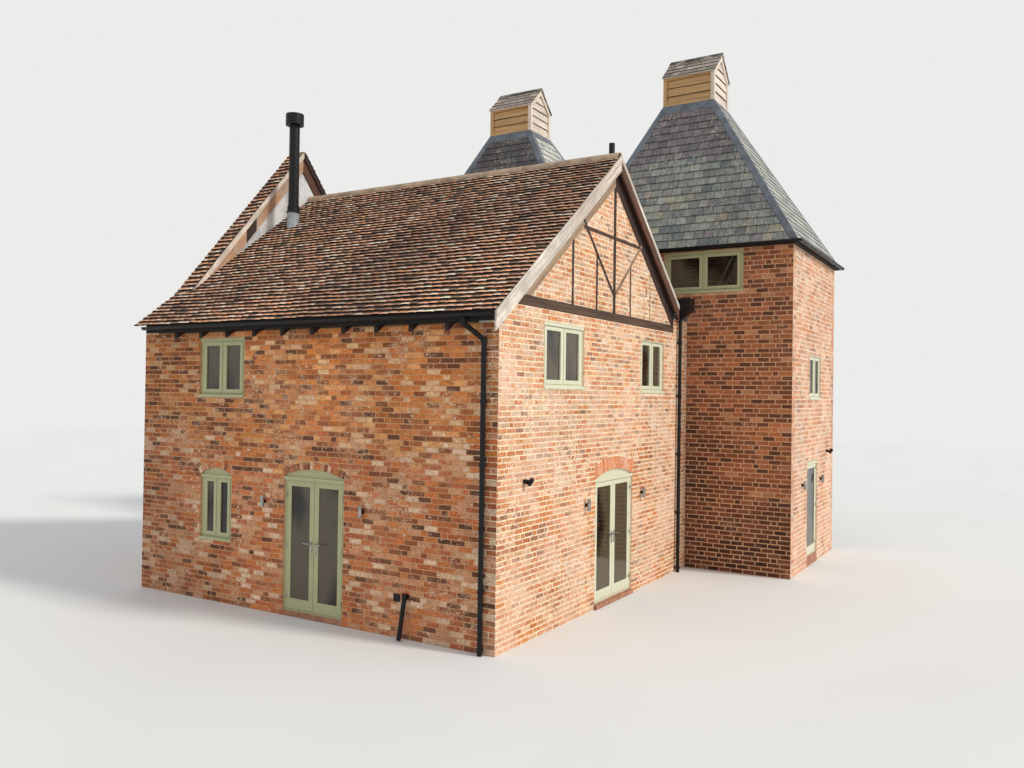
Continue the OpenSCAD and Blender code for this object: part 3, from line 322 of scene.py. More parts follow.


# Mortar on the gable and on the kilns' sunny side is paler than on the shaded walls: on the gable
# partly its own lime and partly painted sunlight, on the kilns' side painted sunlight
FRONT_MORTAR, GABLE_MORTAR = (0.84, 0.65, 0.48), (0.97, 0.89, 0.77)
KILN_MORTAR, SIDE_MORTAR = (0.85, 0.67, 0.52), (0.96, 0.89, 0.80)
# gable_bricks, laid on the gable and on the kilns' sunny side, has paler lime than front_bricks: on the
# gable partly its own lime and partly painted sunlight, on the kilns' side painted sunlight
brick_material("front_bricks", (0.86, 0.71, 0.57), 0.47, flecks=0.75, film=0.1)
brick_material("gable_bricks", (0.97, 0.89, 0.80), 0.43, flecks=0.6, film=0.42)
brick_material("kiln_bricks", (0.78, 0.58, 0.46), 0.54, soot=0.5)
mortar_material("front_mortar", FRONT_MORTAR, 1, Y_FRONT)
mortar_material("gable_mortar", GABLE_MORTAR, 0, X_GABLE, -0.2)
mortar_material("kiln_front_mortar", KILN_MORTAR, 1, Y_KILN)
mortar_material("kiln_side_mortar", SIDE_MORTAR, 0, X_SIDE, -0.2)
mortar_material("kiln_rear_mortar", KILN_MORTAR, 1, Y_REAR, -0.2)
mortar_material("party_mortar", FRONT_MORTAR, 0, X_END, 0.33)
mortar_material("end_mortar", KILN_MORTAR, 0, X_END)
tile_material()
slate_material()
plain_material("ridge_bedding", (0.74, 0.64, 0.54), (0.58, 0.50, 0.42), 6, 0.9, 0.002)
plain_material("clay_sill", (0.73, 0.51, 0.40), (0.56, 0.38, 0.30), 9, 0.85, 0.001)
wood_material("old_oak", (0.11, 0.08, 0.07), 0.86, 0.003, 0.8, light=(0.22, 0.17, 0.13))
wood_material("gable_beams", 0.42, 0.88, 0.004, 0.8)
wood_material("weathered_wood", 0.52, 0.85, 0.003, 0.7, grey=(0.70, 0.66, 0.61))
wood_material("new_oak", 0.66, 0.7, 0.0016, 0.35)
plain_material("grey_render", (0.87, 0.87, 0.86), (0.68, 0.69, 0.69), 2.6, 0.92, 0.002, (1, 1, 0.5))
metal_material("zinc_sleeve", (0.62, 0.65, 0.66), 0.3, 0.5, (0.75, 0.76, 0.76), 7)
paint_material("sage_gloss", (0.70, 0.70, 0.53))
# The same sage drawn paler for the sunny sides: painted sunlight
paint_material("sunlit_sage", (0.85, 0.85, 0.74))
metal_material("black_gloss", (0.045, 0.045, 0.05), 0.0, 0.42, (0.12, 0.115, 0.105), 9, 0.3)
metal_material("sheet_lead", (0.40, 0.43, 0.46), 0.2, 0.55, (0.58, 0.61, 0.63), 4)
metal_material("brushed_steel", (0.66, 0.66, 0.65), 1.0, 0.32, (0.5, 0.5, 0.5), 14)
glass_material()
plain_material("floated_concrete", (0.60, 0.59, 0.56), (0.50, 0.49, 0.47), 2.5, 0.9, 0.001)
plain_material("floor_boards", (0.66, 0.52, 0.36), (0.50, 0.38, 0.26), 1.2, 0.7, 0.001, (0.4, 7, 1))
# Dark underlay under the tiles and slates; where the slopes' eave edges and undersides show, their
# near-black is painted shade
plain_material("underlay_and_painted_shade", (0.13, 0.11, 0.10), (0.09, 0.08, 0.075), 4, 0.95, 0.001)
floor_material()


# Meshes and objects

def edit(mesh, work):
    """Hand a mesh to a function as a bmesh and take back the result"""
    bm = bmesh.new()
    bm.from_mesh(mesh)
    work(bm)
    bm.to_mesh(mesh)
    bm.free()


def set_tone(mesh, tones):
    """Store the corners' colours for the materials"""
    data = np.ones((len(mesh.vertices), 4), np.float32)
    data[:, :3] = tones
    mesh.color_attributes.new("tone", "FLOAT_COLOR", "POINT").data.foreach_set("color", data.ravel())


def set_grain(mesh, places):
    """Store the corners' places along, across and through their bar"""
    data = np.array(places, np.float32).ravel()
    mesh.attributes.new("grain", "FLOAT_VECTOR", "POINT").data.foreach_set("vector", data)


def link(name, data):
    obj = bpy.data.objects.new(name, data)
    bpy.context.scene.collection.objects.link(obj)
    return obj


def loft(sides, count):
    """Faces of a closed solid made of rings: the corners of a ring and the number of steps"""
    faces = [(sides * i + j, sides * i + (j + 1) % sides, sides * (i + 1) + (j + 1) % sides,
              sides * (i + 1) + j) for i in range(count) for j in range(sides)]
    return faces + [tuple(range(sides - 1, -1, -1)), tuple(range(sides * count, sides * count + sides))]


class Pile:
    """Gathers corners, faces and a colour for each corner, and makes one object of them"""

    def __init__(self):
        self.points, self.faces, self.tones, self.grains = [], [], [], []

    def add(self, points, faces, tones, flip=False, grains=()):
        n = len(self.points)
        self.points += points
        self.faces += [tuple(n + i for i in (reversed(f) if flip else f)) for f in faces]
        self.tones += tones if isinstance(tones, list) else [tones] * len(points)
        self.grains += grains

    def make(self, name, material, slot, replaces=None):
        mesh = bpy.data.meshes.new(name)
        mesh.from_pydata(self.points, [], self.faces)
        set_tone(mesh, self.tones)
        if self.grains:
            set_grain(mesh, self.grains)
            edit(mesh, lambda bm: bmesh.ops.recalc_face_normals(bm, faces=bm.faces))
        mesh.materials.append(MATERIALS[material])
        obj = link(name, mesh)
        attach(obj, "house")
        if replaces:
            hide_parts(replaces)


def region(u, z, scale=0.7, seed=0.0):
    """Smooth noise over a wall or roof, from about -1 to 1"""
    return noise.noise(Vector((u * scale, z * scale, seed))) * 1.6


def tint(palette, spread=0.04, level=1.0):
    """A brick's or tile's own colour, from a palette of (colour, weight)"""
    base = rng.choices([p[0] for p in palette], [p[1] for p in palette])[0]
    k = level * (1 + rng.uniform(-spread, spread) * 2)
    return tuple(min(1.0, c * k) for c in linear(tuple(
        min(1, max(0, c + rng.uniform(-0.012, 0.012))) for c in base)))


# Brickwork

# Course and stretcher; how far faces stand out, how far bricks lap a jamb; brick and gap of a ring
WING_BRICK, KILN_BRICK = (0.081, 0.238), (0.0945, 0.250)
PROUD, LAP = 0.005, 0.003
RING_BRICK, RING_GAP = 0.075, 0.005
LEAST_BRICK, TIP = 0.02, 0.005
BLOCK_FACES = [(4, 5, 6, 7), (0, 1, 5, 4), (1, 2, 6, 5), (2, 3, 7, 6), (3, 0, 4, 7)]


def arch(hole):
    """Radius, height of the centre and half the angle of a hole's arched head"""
    _, width, _, high, rise, _ = hole
    radius = (width * width / 4 + rise * rise) / (2 * rise)
    return radius, high + rise - radius, math.asin(width / 2 / radius)


def blocked(hole, z):
    """Half-width that a hole and its ring take up at a height, or None"""
    _, width, low, high, rise, ring = hole
    if low - 0.02 < z <= high:
        return width / 2
    if not rise or z <= low or z > high + rise + ring:
        return None
    radius, centre, lean = arch(hole)
    chord = math.sqrt(max(0.0, (radius + ring) ** 2 - (z - centre) ** 2))
    if z < high + ring * math.cos(lean):
        chord = min(chord, width / 2 + (z - high) * math.tan(lean))
    return chord + 0.006


def spans_between(holes, start, stop, z):
    """Stretches of a course beside its holes, and whether each starts and stops at a jamb"""
    spans = [(start, stop, False, False)]
    for hole in holes:
        reach = blocked(hole, z)
        if reach is None:
            continue
        left, right, jamb = hole[0] - reach, hole[0] + reach, z <= hole[3]
        cut = []
        for a, b, jamb_a, jamb_b in spans:
            if right <= a or left >= b:
                cut.append((a, b, jamb_a, jamb_b))
                continue
            if left > a:
                cut.append((a, left, jamb_a, jamb))
            if right < b:
                cut.append((right, b, jamb, jamb_b))
        spans = cut
    return spans


def upright_joints(start, stop, stretcher, k):
    """Joints of course k: three courses of stretchers, then one of headers and stretchers"""
    half = stretcher / 2
    steps, offset = ((stretcher, half), half / 2) if k % 4 == 3 else ((stretcher,), half * (k % 2))
    u, joints = start - sum(steps) + offset, []
    while u < stop + sum(steps):
        for step in steps:
            u += step
            joints.append(u)
    return joints


def clipped(left, right, low, high, ends):
    """A brick's corners, cut off where its course meets a slope, or None where little is left"""
    reach = (ends(low), ends(high)) if ends else ((left, right), (left, right))
    foot, head = ((max(left, a), min(right, b)) for a, b in reach)
    if foot[1] - foot[0] < LEAST_BRICK:
        return None
    if head[1] - head[0] < 2 * TIP:
        peak = min(max(sum(head) / 2, foot[0] + TIP), foot[1] - TIP)
        head = (peak - TIP, peak + TIP)
    return [(foot[0], low), (foot[1], low), (head[1], high), (head[0], high)]


class Brickwork(Pile):
    """Bricks on a wall's face square to an axis: u runs along it, z up and d out of it

    sense is 1 where the wall looks along the axis and -1 where it looks against it; level gives
    the brightness of the bricks over the wall.
    """

    def __init__(self, axis, face, sense, size, palette, mortar, level=None):
        super().__init__()
        self.axis, self.face, self.sense = axis, face, sense
        self.course, self.stretcher = size
        self.palette, self.mortar, self.level = palette, linear(mortar), level

    def at(self, u, z, d):
        out = self.face + self.sense * d
        return (u, out, z) if self.axis else (out, u, z)

    def brick(self, corners, proud, base, tone, mortar=None, arris=0.004):
        """A brick of four corners (u, z): a worn face inside a sloping arris"""
        cu, cz = (sum(c[i] for c in corners) / 4 for i in (0, 1))
        points = [self.at(u, z, base) for u, z in corners]
        for u, z in corners:
            points.append(self.at(u + (arris if u < cu else -arris), z + (arris if z < cz else -arris),
                                  proud + rng.uniform(-0.0006, 0.0006)))
        self.add(points, BLOCK_FACES, [mortar or self.mortar] * 4 + [tone] * 4,
                 bool(self.axis) == (self.sense > 0))

    def lay(self, start, stop, z0, z1, holes=(), joint=0.011, upper=None, ends=None, clear=None):
        """Courses of bricks from z0 to z1

        upper is a palette for the higher courses, ends gives where a course may start and stop at
        a height, and clear is a gap (u, u, z, z) left without bricks.
        """
        count = round((z1 - z0) / self.course)
        pitch = (z1 - z0) / count
        for k in range(count):
            low, high = z0 + k * pitch, z0 + (k + 1) * pitch
            a, b = ends(low) if ends else (start, stop)
            if a >= b:
                continue
            joints = upright_joints(start, stop, self.stretcher, k)
            for span in spans_between(holes, max(start, a), min(stop, b), (low + high) / 2):
                self.run(span, joints, low, high, joint, upper, ends, clear)

    def run(self, span, joints, low, high, joint, upper, ends, clear):
        """The bricks of one course from one jamb or end to the next"""
        a, b, jamb_a, jamb_b = span
        z = (low + high) / 2
        edges = [a] + [u for u in joints if a + 0.05 < u < b - 0.05] + [b]
        last = len(edges) - 2
        for i in range(last + 1):
            left = edges[i] + (joint / 2 + rng.uniform(-0.0015, 0.0015) if i else -LAP * jamb_a)
            right = edges[i + 1] - (joint / 2 + rng.uniform(-0.0015, 0.0015) if i < last
                                    else -LAP * jamb_b)
            middle = (left + right) / 2
            if clear and clear[0] < middle < clear[1] and clear[2] < z < clear[3]:
                continue
            corners = clipped(left, right, low + joint / 2 + rng.uniform(-0.0012, 0.0012),
                              high - joint / 2 + rng.uniform(-0.0012, 0.0012), ends)
            if not corners:
                continue
            palette = self.palette
            if upper and z + 0.5 * region(middle, z) > rng.uniform(2.4, 3.0):
                palette = upper
            level = 1 + 0.16 * region(middle, z, 0.8, 5.0)
            if self.level:
                level *= self.level(middle, z)
            at_jamb = (jamb_a and i == 0) or (jamb_b and i == last)
            self.brick(corners, PROUD + rng.uniform(-0.0015, 0.002),
                       LAP - WINDOW_SET if at_jamb else 0.0, tint(palette, level=level))

    def ring(self, hole, palette, depth):
        """Bricks on edge round the head of an arched opening"""
        radius, centre, lean = arch(hole)
        inner, outer, gap = radius - 0.003, radius + hole[5] - 0.004, RING_GAP / radius
        count = round(2 * lean * radius / RING_BRICK)
        for i in range(count):
            a, b = (-lean + 2 * lean * (i + n) / count for n in (0, 1))
            corners = [(hole[0] + r * math.sin(t), centre + r * math.cos(t))
                       for t, r in ((a + gap, inner), (b - gap, inner), (b - gap, outer),
                                    (a + gap, outer))]
            self.brick(corners, 0.007, LAP - depth, tint(palette))


# Palettes: colours with weights
FRONT_BRICKS = [((0.81, 0.57, 0.41), 4), ((0.72, 0.39, 0.22), 4), ((0.90, 0.75, 0.62), 2.4),
                ((0.80, 0.45, 0.23), 3.5), ((0.56, 0.31, 0.18), 2.6), ((0.40, 0.23, 0.15), 1.4)]
UPPER_BRICKS = [((0.81, 0.48, 0.23), 5), ((0.87, 0.60, 0.36), 2.4), ((0.69, 0.38, 0.17), 4),
                ((0.87, 0.68, 0.50), 1.5), ((0.55, 0.30, 0.15), 2.6), ((0.40, 0.23, 0.14), 1.1)]
GABLE_BRICKS = [((0.80, 0.50, 0.28), 5), ((0.74, 0.43, 0.24), 3.5), ((0.84, 0.62, 0.44), 3.5),
                ((0.83, 0.67, 0.53), 1.5), ((0.62, 0.41, 0.29), 1.0)]
PALE_BRICKS = [((0.87, 0.66, 0.49), 4), ((0.81, 0.56, 0.39), 4), ((0.82, 0.67, 0.56), 2.5),
               ((0.63, 0.45, 0.35), 1.5), ((0.81, 0.50, 0.30), 3.5)]
ARCH_BRICKS = [((0.86, 0.52, 0.33), 3), ((0.90, 0.60, 0.41), 2)]
KILN_BRICKS = [((0.62, 0.37, 0.23), 4), ((0.54, 0.31, 0.19), 4), ((0.70, 0.42, 0.26), 3.5),
               ((0.45, 0.27, 0.18), 3.5), ((0.36, 0.22, 0.15), 1.5), ((0.75, 0.53, 0.38), 0.8)]
# Paler than KILN_BRICKS, for the kilns' sunny side: painted sunlight
SIDE_BRICKS = [((0.84, 0.62, 0.47), 5), ((0.79, 0.54, 0.40), 4), ((0.86, 0.70, 0.58), 3),
               ((0.66, 0.48, 0.39), 1.0), ((0.84, 0.55, 0.37), 2)]


def front_level(u, z):
    """The front's bricks are darkest towards its ends and warm and bright high in the middle"""
    ends = max(0.0, min(1.0, (abs(u - 0.4) - 1.9) / 1.6))
    high = max(0.0, min(1.0, (z - 2.2) / 1.5))
    return (1 - (0.35 if u < 0 else 0.17) * ends) * (1 + 0.14 * high * (1 - ends))


def kiln_level(u, z):
    """The kilns' shaded front is darker towards the bottom"""
    return max(0.32, min(1.05, 0.31 + 0.20 * z + 0.28 * region(u, z, 0.9, 8.0)))


def party_ends(z):
    """Where a course of the party wall and its raised gable starts and stops at a height"""
    if z < tile_top(Y_FRONT):
        return (Y_FRONT, Y_KILN)
    ends = []
    if z < APEX:
        start, stop = under_slopes(z, APEX)
        ends += [start, min(Y_KILN, stop)]
    drop = (PARTY_APEX - z) / math.tan(PARTY_PITCH)
    if 0 < drop < PARTY_FOOT:
        ends += [PARTY_APEX_Y - drop, PARTY_APEX_Y + drop]
    return (min(ends), max(ends)) if ends else (1, 0)


def brickwork():
    front = Brickwork(1, Y_FRONT, -1, WING_BRICK, FRONT_BRICKS, FRONT_MORTAR, front_level)
    front.lay(X_END, X_GABLE, 0, tile_top(Y_FRONT) - EAVE_DROP, FRONT_HOLES, upper=UPPER_BRICKS)
    front.ring(FRONT_HOLES[0], FRONT_BRICKS, DOOR_SET)
    front.ring(FRONT_HOLES[1], FRONT_BRICKS, WINDOW_SET)
    front.make("front_bricks", "front_bricks", "brick")

    gable = Brickwork(0, X_GABLE, 1, WING_BRICK, GABLE_BRICKS, GABLE_MORTAR)
    gable.lay(Y_FRONT - PROUD, Y_KILN, 0, TIE_Z, GABLE_HOLES, 0.018, PALE_BRICKS)
    gable.lay(Y_FRONT - PROUD, TIE_START, TIE_Z, TIE_TOP, joint=0.017,
              ends=lambda z: (under_slopes(z, UNDER_COVER)[0], TIE_START))
    gable.lay(TRAY_Y, Y_KILN, TIE_Z, TRAY_Z, joint=0.017)
    gable.ring(GABLE_HOLES[0], ARCH_BRICKS, DOOR_SET)
    gable.make("gable_bricks", "gable_bricks", "brick")

    # The bricks between the timbers run behind them, with a dark air brick
    infill = Brickwork(0, X_GABLE - 0.012, 1, WING_BRICK, GABLE_BRICKS, GABLE_MORTAR)
    peak = below(RIDGE_Y, PRINCIPAL, FRONT_PITCH) + 0.02
    infill.lay(-3.0, 3.2, TIE_TOP, POST_TOP, joint=0.018, upper=PALE_BRICKS,
               ends=lambda z: under_slopes(z, peak), clear=(1.42, 1.60, 5.49, 5.66))
    infill.brick([(1.46, 5.50), (1.56, 5.50), (1.56, 5.66), (1.46, 5.66)], 0.004, 0.0,
                 linear((0.38, 0.20, 0.14)), linear((0.15, 0.09, 0.07)), 0.012)
    infill.make("infill_bricks", "gable_bricks", "brick")

    kiln = Brickwork(1, Y_KILN, -1, KILN_BRICK, KILN_BRICKS, KILN_MORTAR, kiln_level)
    kiln.lay(X_GABLE, X_SIDE, 0, KILN_CLEAR, joint=0.016)
    kiln.lay(X_END, X_SIDE, KILN_CLEAR, KILN_TOP, HIGH_HOLES, 0.016)
    kiln.make("kiln_front_bricks", "kiln_bricks", "brick")

    # The kilns' sunny side takes paler bricks, lime and mortar than their other walls: painted sunlight
    side = Brickwork(0, X_SIDE, 1, KILN_BRICK, SIDE_BRICKS, SIDE_MORTAR)
    side.lay(Y_KILN - PROUD, Y_REAR, 0, KILN_TOP, SIDE_HOLES, 0.016)
    side.make("kiln_side_bricks", "gable_bricks", "brick")

    rear = Brickwork(1, Y_REAR, 1, KILN_BRICK, KILN_BRICKS, KILN_MORTAR)
    rear.lay(X_END, X_SIDE + PROUD, 0, KILN_TOP, REAR_HOLES)
    rear.make("kiln_rear_bricks", "kiln_bricks", "brick")

    end = Brickwork(0, X_END, -1, KILN_BRICK, KILN_BRICKS, KILN_MORTAR)
    end.lay(Y_KILN, Y_REAR + PROUD, 0, KILN_TOP, END_HOLES)
    end.make("kiln_end_bricks", "kiln_bricks", "brick")

    party = Brickwork(0, X_END, -1, WING_BRICK, FRONT_BRICKS, FRONT_MORTAR)
    party.lay(Y_FRONT - PROUD, Y_KILN, 0, PARTY_STEP, ends=party_ends)
    party.lay(Y_FRONT, Y_KILN - 0.83, PARTY_STEP, PARTY_LAST, ends=party_ends)
    party.make("party_bricks", "front_bricks", "brick")


# Clay tiles

TILE_W, TILE_GAUGE, TILE_STEPS, CAMBER = 0.165, 0.115, 4, 0.006
TILES = [((0.94, 0.73, 0.59), 4), ((0.89, 0.66, 0.51), 4), ((1.0, 0.86, 0.74), 2.2),
         ((0.72, 0.51, 0.39), 2), ((0.94, 0.65, 0.46), 2), ((0.53, 0.41, 0.33), 1.6)]
# Near-black painted shade for the tiles' butts
TILE_SHADE = linear((0.09, 0.065, 0.05))
# Along a tile: share of its length, share of its own colour; its tail is paler from weathering and
# painted sunlight, and from the middle on it is darkened by dirt and painted shade under the next
# course
TILE_LIGHT_AND_SHADE = ((0.0, 1.22), (0.30, 0.92), (0.45, 0.07), (1.0, 0.03))


def add_tile(pile, origin, across, up, out, width, length, tail, tone):
    """A cambered tile, pale at its tail from weathering and painted sunlight, darkened under the next
    course by dirt and painted shade, on a butt of near-black painted shade
    """
    rows = [(0, 0.0, TILE_SHADE), (0, tail, TILE_SHADE)]
    rows += [(share, tail + (0.003 - tail) * share, scaled(tone, k)) for share, k in TILE_LIGHT_AND_SHADE]
    points, tones = [], []
    for along, height, colour in rows:
        for i in range(TILE_STEPS + 1):
            t = i / TILE_STEPS
            bulge = CAMBER * (1 - (2 * t - 1) ** 2) if height else 0.0
            p = origin + across * (width * t) + up * (length * along) + out * (height + bulge)
            points.append(tuple(p))
            tones.append(colour)
    n = TILE_STEPS + 1
    faces = [(r * n + i, r * n + i + 1, r * n + n + i + 1, r * n + n + i)
             for r in (0, 2, 3, 4) for i in range(TILE_STEPS)]
    pile.add(points, faces, tones)


def tile_rows(pile, y, z, pitch, sign, length, ends):
    """Courses of tiles up a slope from its foot; ends gives where a course starts and stops"""
    across = Vector((-sign, 0, 0))
    up, out = slope_axes(pitch, sign)
    rows = int(length / TILE_GAUGE)
    gauge = length / rows
    for row in range(rows):
        height = row * gauge
        base = Vector((0, y, z)) + up * height
        left, right = ends(base.y)
        edges = [left, left + TILE_W * (0.5 if row % 2 else 1.0)]
        while edges[-1] < right - TILE_W * 1.4:
            edges.append(edges[-1] + TILE_W + rng.uniform(-0.022, 0.022))
        edges.append(right)
        for a, b in zip(edges, edges[1:]):
            middle = (a + b) / 2
            wave = region(middle, height, 0.9, 3.0)
            level = (0.88 + 0.26 * region(middle, height, 0.5, 9.0)
                     + 0.12 * region(middle, height * 9, 1.1, 2.0))
            origin = base + up * (0.008 * wave + rng.uniform(-0.006, 0.006))
            origin.x = (b if sign > 0 else a) + across.x * 0.001
            add_tile(pile, origin, across, up, out, b - a - 0.002, gauge + 0.022,
                     0.027 + 0.004 * wave + rng.uniform(-0.004, 0.005), tint(TILES, 0.03, level))


def wing_ends(y):
    """A course of the wing's tiles stops at the raised gable where that stands over the roof"""
    gable = party_line(y, COPING) > tile_top(y) and abs(y - PARTY_APEX_Y) < PARTY_FOOT
    return (X_PARTY if gable else X_END) + 0.004, X_GABLE + 0.105


def roof_tiles():
    """Both slopes of the wing, and the coping of the raised gable as far as it shows"""
    for name, pitch, sign, eave in (("front_tiles", FRONT_PITCH, -1, EAVE_Y),
                                    ("rear_tiles", REAR_PITCH, 1, REAR_EAVE_Y)):
        pile = Pile()
        tile_rows(pile, eave, tile_top(eave), pitch, sign,
                  abs(eave - RIDGE_Y) / math.cos(pitch) - 0.10, wing_ends)
        pile.make(name, "clay_tiles", "clay_tile")
    pile = Pile()
    for sign, reach in ((-1, 2.92), (1, 2.0)):
        y = PARTY_APEX_Y + sign * reach
        tile_rows(pile, y, party_line(y, COPING), PARTY_PITCH, sign,
                  reach / math.cos(PARTY_PITCH) - 0.05, lambda y: (X_END - 0.012, X_PARTY + 0.066))
    pile.make("coping_tiles", "clay_tiles", "weathered_board")


# Slates

SLATES = [((0.51, 0.52, 0.49), 4), ((0.47, 0.48, 0.46), 3), ((0.56, 0.56, 0.52), 3),
          ((0.47, 0.46, 0.45), 1.2), ((0.56, 0.54, 0.47), 0.8), ((0.41, 0.43, 0.42), 2)]
PURPLE_SLATES = [((0.43, 0.39, 0.40), 4), ((0.47, 0.44, 0.44), 3), ((0.37, 0.35, 0.36), 2)]
# Paler slates for the kilns' sides towards the sun: painted sunlight
SUNLIT_SLATES = [((0.66, 0.66, 0.62), 4), ((0.60, 0.61, 0.58), 3), ((0.72, 0.71, 0.67), 2),
               ((0.52, 0.52, 0.50), 1)]
COWL_SLATES = [((0.62, 0.56, 0.51), 4), ((0.54, 0.48, 0.44), 3), ((0.70, 0.63, 0.57), 2),
               ((0.44, 0.40, 0.37), 1)]
SLATE_GAUGE, SLATE_W, SLATE_GAP, SLATE_LAP, LEAST_SLATE = 0.20, 0.225, 0.004, 0.015, 0.06
# Along a slate: share of its length and of its drop to the head, share of its own colour; the dark band
# at the head is painted shade under the next course
SLATE_PAINTED_SHADE = ((0.0, 1.0), (0.80, 0.94), (0.90, 0.32), (1.0, 0.15))
# Rise of a kiln roof, and what the lead covers along its hips and under the cowl
ROOF_RISE, HIP, COLLAR = COWL_Z - EDGE_Z, 0.145, 0.19


def add_slate(pile, foot, head, along, out, ends, top_ends, tail, tone, flip):
    """A slate between two ends of its foot and two of its head, with painted shade near its head under
    the next course and on its near-black edges
    """
    (a, b), (top_a, top_b) = ends, top_ends
    points, tones = [], []
    for share, k in SLATE_PAINTED_SHADE:
        up = foot.lerp(head, share) + out * (tail + (0.004 - tail) * share)
        points += [up + along * (a + (top_a - a) * share + SLATE_GAP),
                   up + along * (b + (top_b - b) * share - SLATE_GAP)]
        tones += [scaled(tone, k)] * 2
    points += [foot + along * (a + SLATE_GAP) + out * 0.001,
               foot + along * (b - SLATE_GAP) + out * 0.001,
               head + along * (top_b - SLATE_GAP) - out * 0.004,
               head + along * (top_a + SLATE_GAP) - out * 0.004,
               points[0], points[1], points[7], points[6]]
    faces = [(1, 0, 2, 3), (3, 2, 4, 5), (5, 4, 6, 7), (8, 9, 13, 12), (9, 10, 14, 13),
             (11, 8, 12, 15)]
    # Near-black edges: painted shade
    pile.add([tuple(p) for p in points], faces, tones + [scaled(tone, 0.08)] * 8, flip)


def slate_side(pile, foot, run, inward, along, low, high, purple_from, level, start=0.0,
               palette=SLATES):
    """Cover one side of a kiln roof from a share of its height up

    low and high give the side's ends at a share of the height, and its slates are purple from
    about purple_from on.
    """
    slope = math.hypot(run, ROOF_RISE)
    up = (inward * run + Vector((0, 0, ROOF_RISE))) / slope
    out = along.cross(up)
    flip = out.z < 0
    if flip:
        out = -out
    cover = slope * (1 - start) - COLLAR
    rows = round(cover / SLATE_GAUGE)
    gauge = cover / rows
    for row in range(rows):
        at = slope * start + row * gauge
        share, share_up = at / slope, (at + gauge + SLATE_LAP) / slope
        a0, b0, a1, b1 = low(share), high(share), low(share_up), high(share_up)
        first = math.floor(a0 / SLATE_W) * SLATE_W + (SLATE_W / 2 if row % 2 else 0.0)
        joints = [first + i * SLATE_W + rng.uniform(-0.02, 0.02) for i in range(40)]
        edges = [a0] + [u for u in joints if a0 + LEAST_SLATE < u < b0 - LEAST_SLATE] + [b0]
        base = foot + up * at
        purple = purple_from - share + 0.1 * rng.uniform(-1, 1)
        for a, b in zip(edges, edges[1:]):
            top_a, top_b = max(a, a1), min(b, b1)
            if top_b <= top_a:
                top_a = top_b = min(max((a + b) / 2, a1), b1)
            dark = purple + 0.12 * region(a, at, 1.2, 4.0) + rng.uniform(-0.1, 0.1) < 0
            tone = tint(PURPLE_SLATES if dark else palette, 0.06,
                        level + 0.16 * region(a, at, 0.8, 6.0))
            add_slate(pile, base + up * rng.uniform(-0.004, 0.003), base + up * (gauge + SLATE_LAP),
                      along, out, (a, b), (top_a, top_b), 0.014 + rng.uniform(-0.002, 0.003), tone,
                      flip)


def slates():
    """Both kiln roofs, whose inner sides and courses stop at the valley between them"""
    across_x, across_y = Vector((1, 0, 0)), Vector((0, 1, 0))
    y0, y1 = KILN_Y - COWL_D / 2 - RUN_Y, KILN_Y + COWL_D / 2 + RUN_Y
    for name, cx, least, most, purple_from, level in (
            ("right_slates", COWL_XS[0], VALLEY_X + 0.01, math.inf, 0.55, 1.0),
            ("left_slates", COWL_XS[1], -math.inf, VALLEY_X - 0.01, 0.1, 0.40)):
        pile = Pile()
        x0, x1 = cx - COWL_W / 2 - RUN_LEFT, cx + COWL_W / 2 + RUN_RIGHT
        for y, inward in ((y0, across_y), (y1, -across_y)):
            slate_side(pile, Vector((0, y, EDGE_Z)), RUN_Y, inward, across_x,
                       lambda t: max(x0 + RUN_LEFT * t + HIP, least),
                       lambda t: min(x1 - RUN_RIGHT * t - HIP, most),
                       purple_from, level)
        for x, run, inward in ((x1, RUN_RIGHT, -across_x), (x0, RUN_LEFT, across_x)):
            hidden = (x - VALLEY_X) * inward.x < 0 and abs(x - VALLEY_X) < 1
            start = (abs(x - VALLEY_X) + 0.03) / run if hidden else 0.0
            # Sides towards the sun take paler slates, fewer purple ones and, on the left kiln, a higher
            # level: painted sunlight
            sunny = inward.x < 0
            slate_side(pile, Vector((x, 0, EDGE_Z)), run, inward, across_y,
                       lambda t: y0 + RUN_Y * t + HIP, lambda t: y1 - RUN_Y * t - HIP,
                       1.2 if sunny else 0.55, 1.5 if sunny and cx < 0 else 1.0, start,
                       SUNLIT_SLATES if sunny else SLATES)
        pile.make(name, "riven_slates", "slate")


# Ridge, timbers, verges and cowl roofs

RIDGE_TILES = [((0.82, 0.70, 0.57), 3), ((0.74, 0.62, 0.50), 3), ((0.89, 0.79, 0.67), 2),
               ((0.56, 0.46, 0.38), 1)]
NEAR_BLACK, TIE_BROWN, TAN = (0.23, 0.17, 0.14), (0.38, 0.28, 0.22), (0.66, 0.53, 0.42)
RED_BROWN, PALE_BOARD, BOARD_BROWN = (0.26, 0.17, 0.13), (0.95, 0.90, 0.84), (0.43, 0.28, 0.21)
# Length of a timber from one wobble to the next, and how far apart two bars' grain may start
BAR_STEP, SWEEP_STEP, GRAIN_SPAN = 0.15, 0.2, 40


